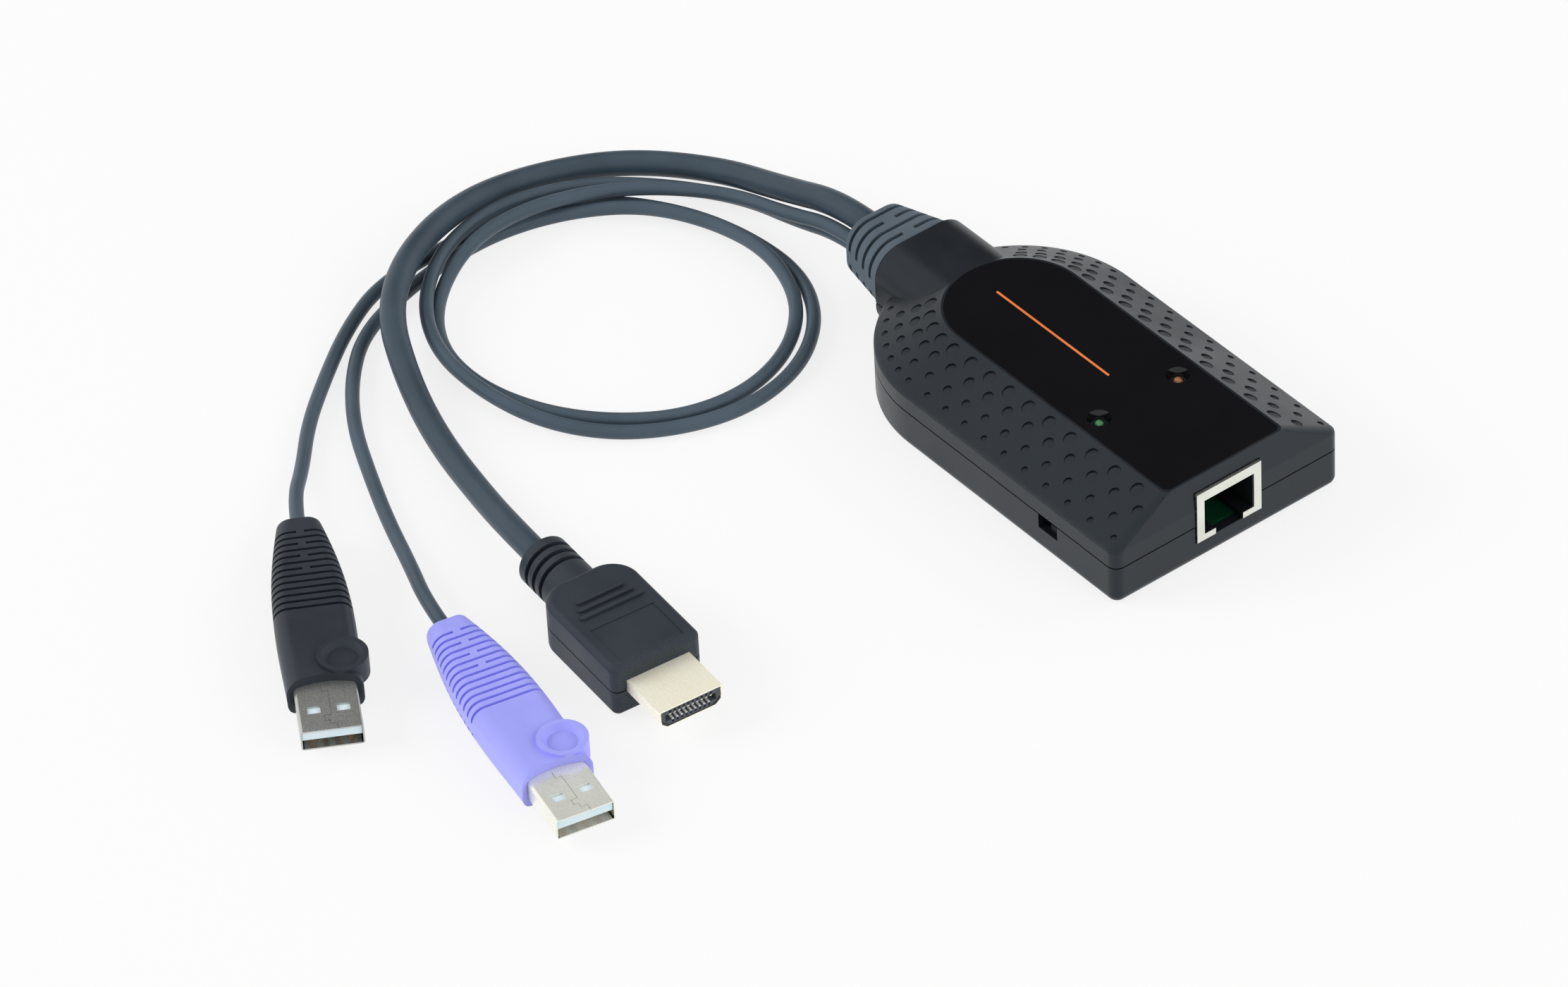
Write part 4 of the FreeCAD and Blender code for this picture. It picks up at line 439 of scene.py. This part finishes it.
# A dark flag that gloss reflects: its direction, the cosines of the angles at its soft
# edge and in its heart, and its strength beside walls of 1.
FLAG_DIRECTION = (-0.603, 0.603, 0.522)
FLAG_EDGE, FLAG_HEART, FLAG_STRENGTH = 0.87, 0.95, 0.1


def add_soft_box(name, location, size, power):
    """A rectangular lamp that lights the object but shows in no reflection."""
    light = bpy.data.lights.new(name, "AREA")
    light.shape = "RECTANGLE"
    light.size, light.size_y = size
    light.energy = power
    lamp = bpy.data.objects.new(name, light)
    lamp.location = location
    lamp.visible_glossy = False
    aim = Vector(LIT_POINT) - Vector(location)
    lamp.rotation_euler = aim.to_track_quat("-Z", "Y").to_euler()
    bpy.context.scene.collection.objects.link(lamp)


def seen_directly(tree):
    """1 for rays from the camera and for rays from gloss and glass, else 0."""
    path = tree.nodes.new("ShaderNodeLightPath")
    total = path.outputs["Is Camera Ray"]
    for name in ("Is Glossy Ray", "Is Transmission Ray"):
        higher = tree.nodes.new("ShaderNodeMath")
        higher.operation = "MAXIMUM"
        tree.links.new(total, higher.inputs[0])
        tree.links.new(path.outputs[name], higher.inputs[1])
        total = higher.outputs[0]
    return total


def make_floor():
    """A plain white floor that keeps the object's shadow."""
    mesh = bpy.data.meshes.new("floor")
    reach = FLOOR_REACH
    mesh.from_pydata([(-reach, -reach, 0), (reach, -reach, 0), (reach, reach, 0),
                      (-reach, reach, 0)], [], [(0, 1, 2, 3)])
    floor = bpy.data.objects.new("floor", mesh)
    floor.location.z = -FLOOR_GAP
    bpy.context.scene.collection.objects.link(floor)
    material = bpy.data.materials.new("floor_white")
    material.use_nodes = True
    tree = material.node_tree
    principled = tree.nodes["Principled BSDF"]
    principled.inputs["Base Color"].default_value = (0.9, 0.9, 0.9, 1.0)
    principled.inputs["Roughness"].default_value = 0.9
    glow = tree.nodes.new("ShaderNodeEmission")
    glow.inputs["Strength"].default_value = 1.0
    mix = tree.nodes.new("ShaderNodeMixShader")
    share = tree.nodes.new("ShaderNodeMath")
    share.operation = "MULTIPLY"
    share.inputs[1].default_value = FLOOR_SHARE
    tree.links.new(seen_directly(tree), share.inputs[0])
    tree.links.new(share.outputs[0], mix.inputs[0])
    tree.links.new(principled.outputs[0], mix.inputs[1])
    tree.links.new(glow.outputs[0], mix.inputs[2])
    tree.links.new(mix.outputs[0], tree.nodes["Material Output"].inputs["Surface"])
    mesh.materials.append(material)


def make_world():
    """White walls round a product table, with one dark flag high behind it, which the
    flat tops reflect. Diffuse light comes more from the horizon than from above."""
    world = bpy.data.worlds.new("studio")
    world.use_nodes = True
    tree = world.node_tree

    def ramp(source, low, high, start, end):
        node = tree.nodes.new("ShaderNodeMapRange")
        node.interpolation_type = "SMOOTHSTEP"
        for socket, value in (("From Min", low), ("From Max", high), ("To Min", start),
                              ("To Max", end)):
            node.inputs[socket].default_value = value
        tree.links.new(source, node.inputs["Value"])
        return node.outputs["Result"]

    direction = tree.nodes.new("ShaderNodeTexCoord").outputs["Generated"]
    split = tree.nodes.new("ShaderNodeSeparateXYZ")
    tree.links.new(direction, split.inputs[0])
    toward = tree.nodes.new("ShaderNodeVectorMath")
    toward.operation = "DOT_PRODUCT"
    toward.inputs[1].default_value = FLAG_DIRECTION
    tree.links.new(direction, toward.inputs[0])
    strength = tree.nodes.new("ShaderNodeMix")
    tree.links.new(seen_directly(tree), strength.inputs["Factor"])
    tree.links.new(ramp(split.outputs["Z"], 0.0, 1.0, HORIZON_LIGHT, ZENITH_LIGHT),
                   strength.inputs["A"])
    tree.links.new(ramp(toward.outputs["Value"], FLAG_EDGE, FLAG_HEART, 1.0, FLAG_STRENGTH),
                   strength.inputs["B"])
    background = tree.nodes["Background"]
    background.inputs["Color"].default_value = (1.0, 1.0, 1.0, 1.0)
    tree.links.new(strength.outputs["Result"], background.inputs["Strength"])
    bpy.context.scene.world = world


def make_camera():
    """A camera with a long lens, its bearing, height and roll in degrees, that looks down
    past the network socket at the whole object."""
    bearing, height, roll = -36.154, 40.106, 3.130
    camera = bpy.data.cameras.new("camera")
    camera.sensor_width = 36.0
    camera.lens = 202.3543
    camera.clip_end = 20.0
    holder = bpy.data.objects.new("camera", camera)
    turn = (Matrix.Rotation(math.radians(bearing + 90.0), 4, "Z")
            @ Matrix.Rotation(math.radians(90.0 - height), 4, "X")
            @ Matrix.Rotation(math.radians(-roll), 4, "Z"))
    place = Matrix.Translation((1.03444, -0.82083, 1.09371))
    holder.matrix_world = place @ turn
    bpy.context.scene.collection.objects.link(holder)
    bpy.context.scene.camera = holder


make_floor()
make_world()
make_camera()
for soft_box in SOFT_BOXES:
    add_soft_box(*soft_box)
bpy.context.scene.view_settings.view_transform = "Standard"
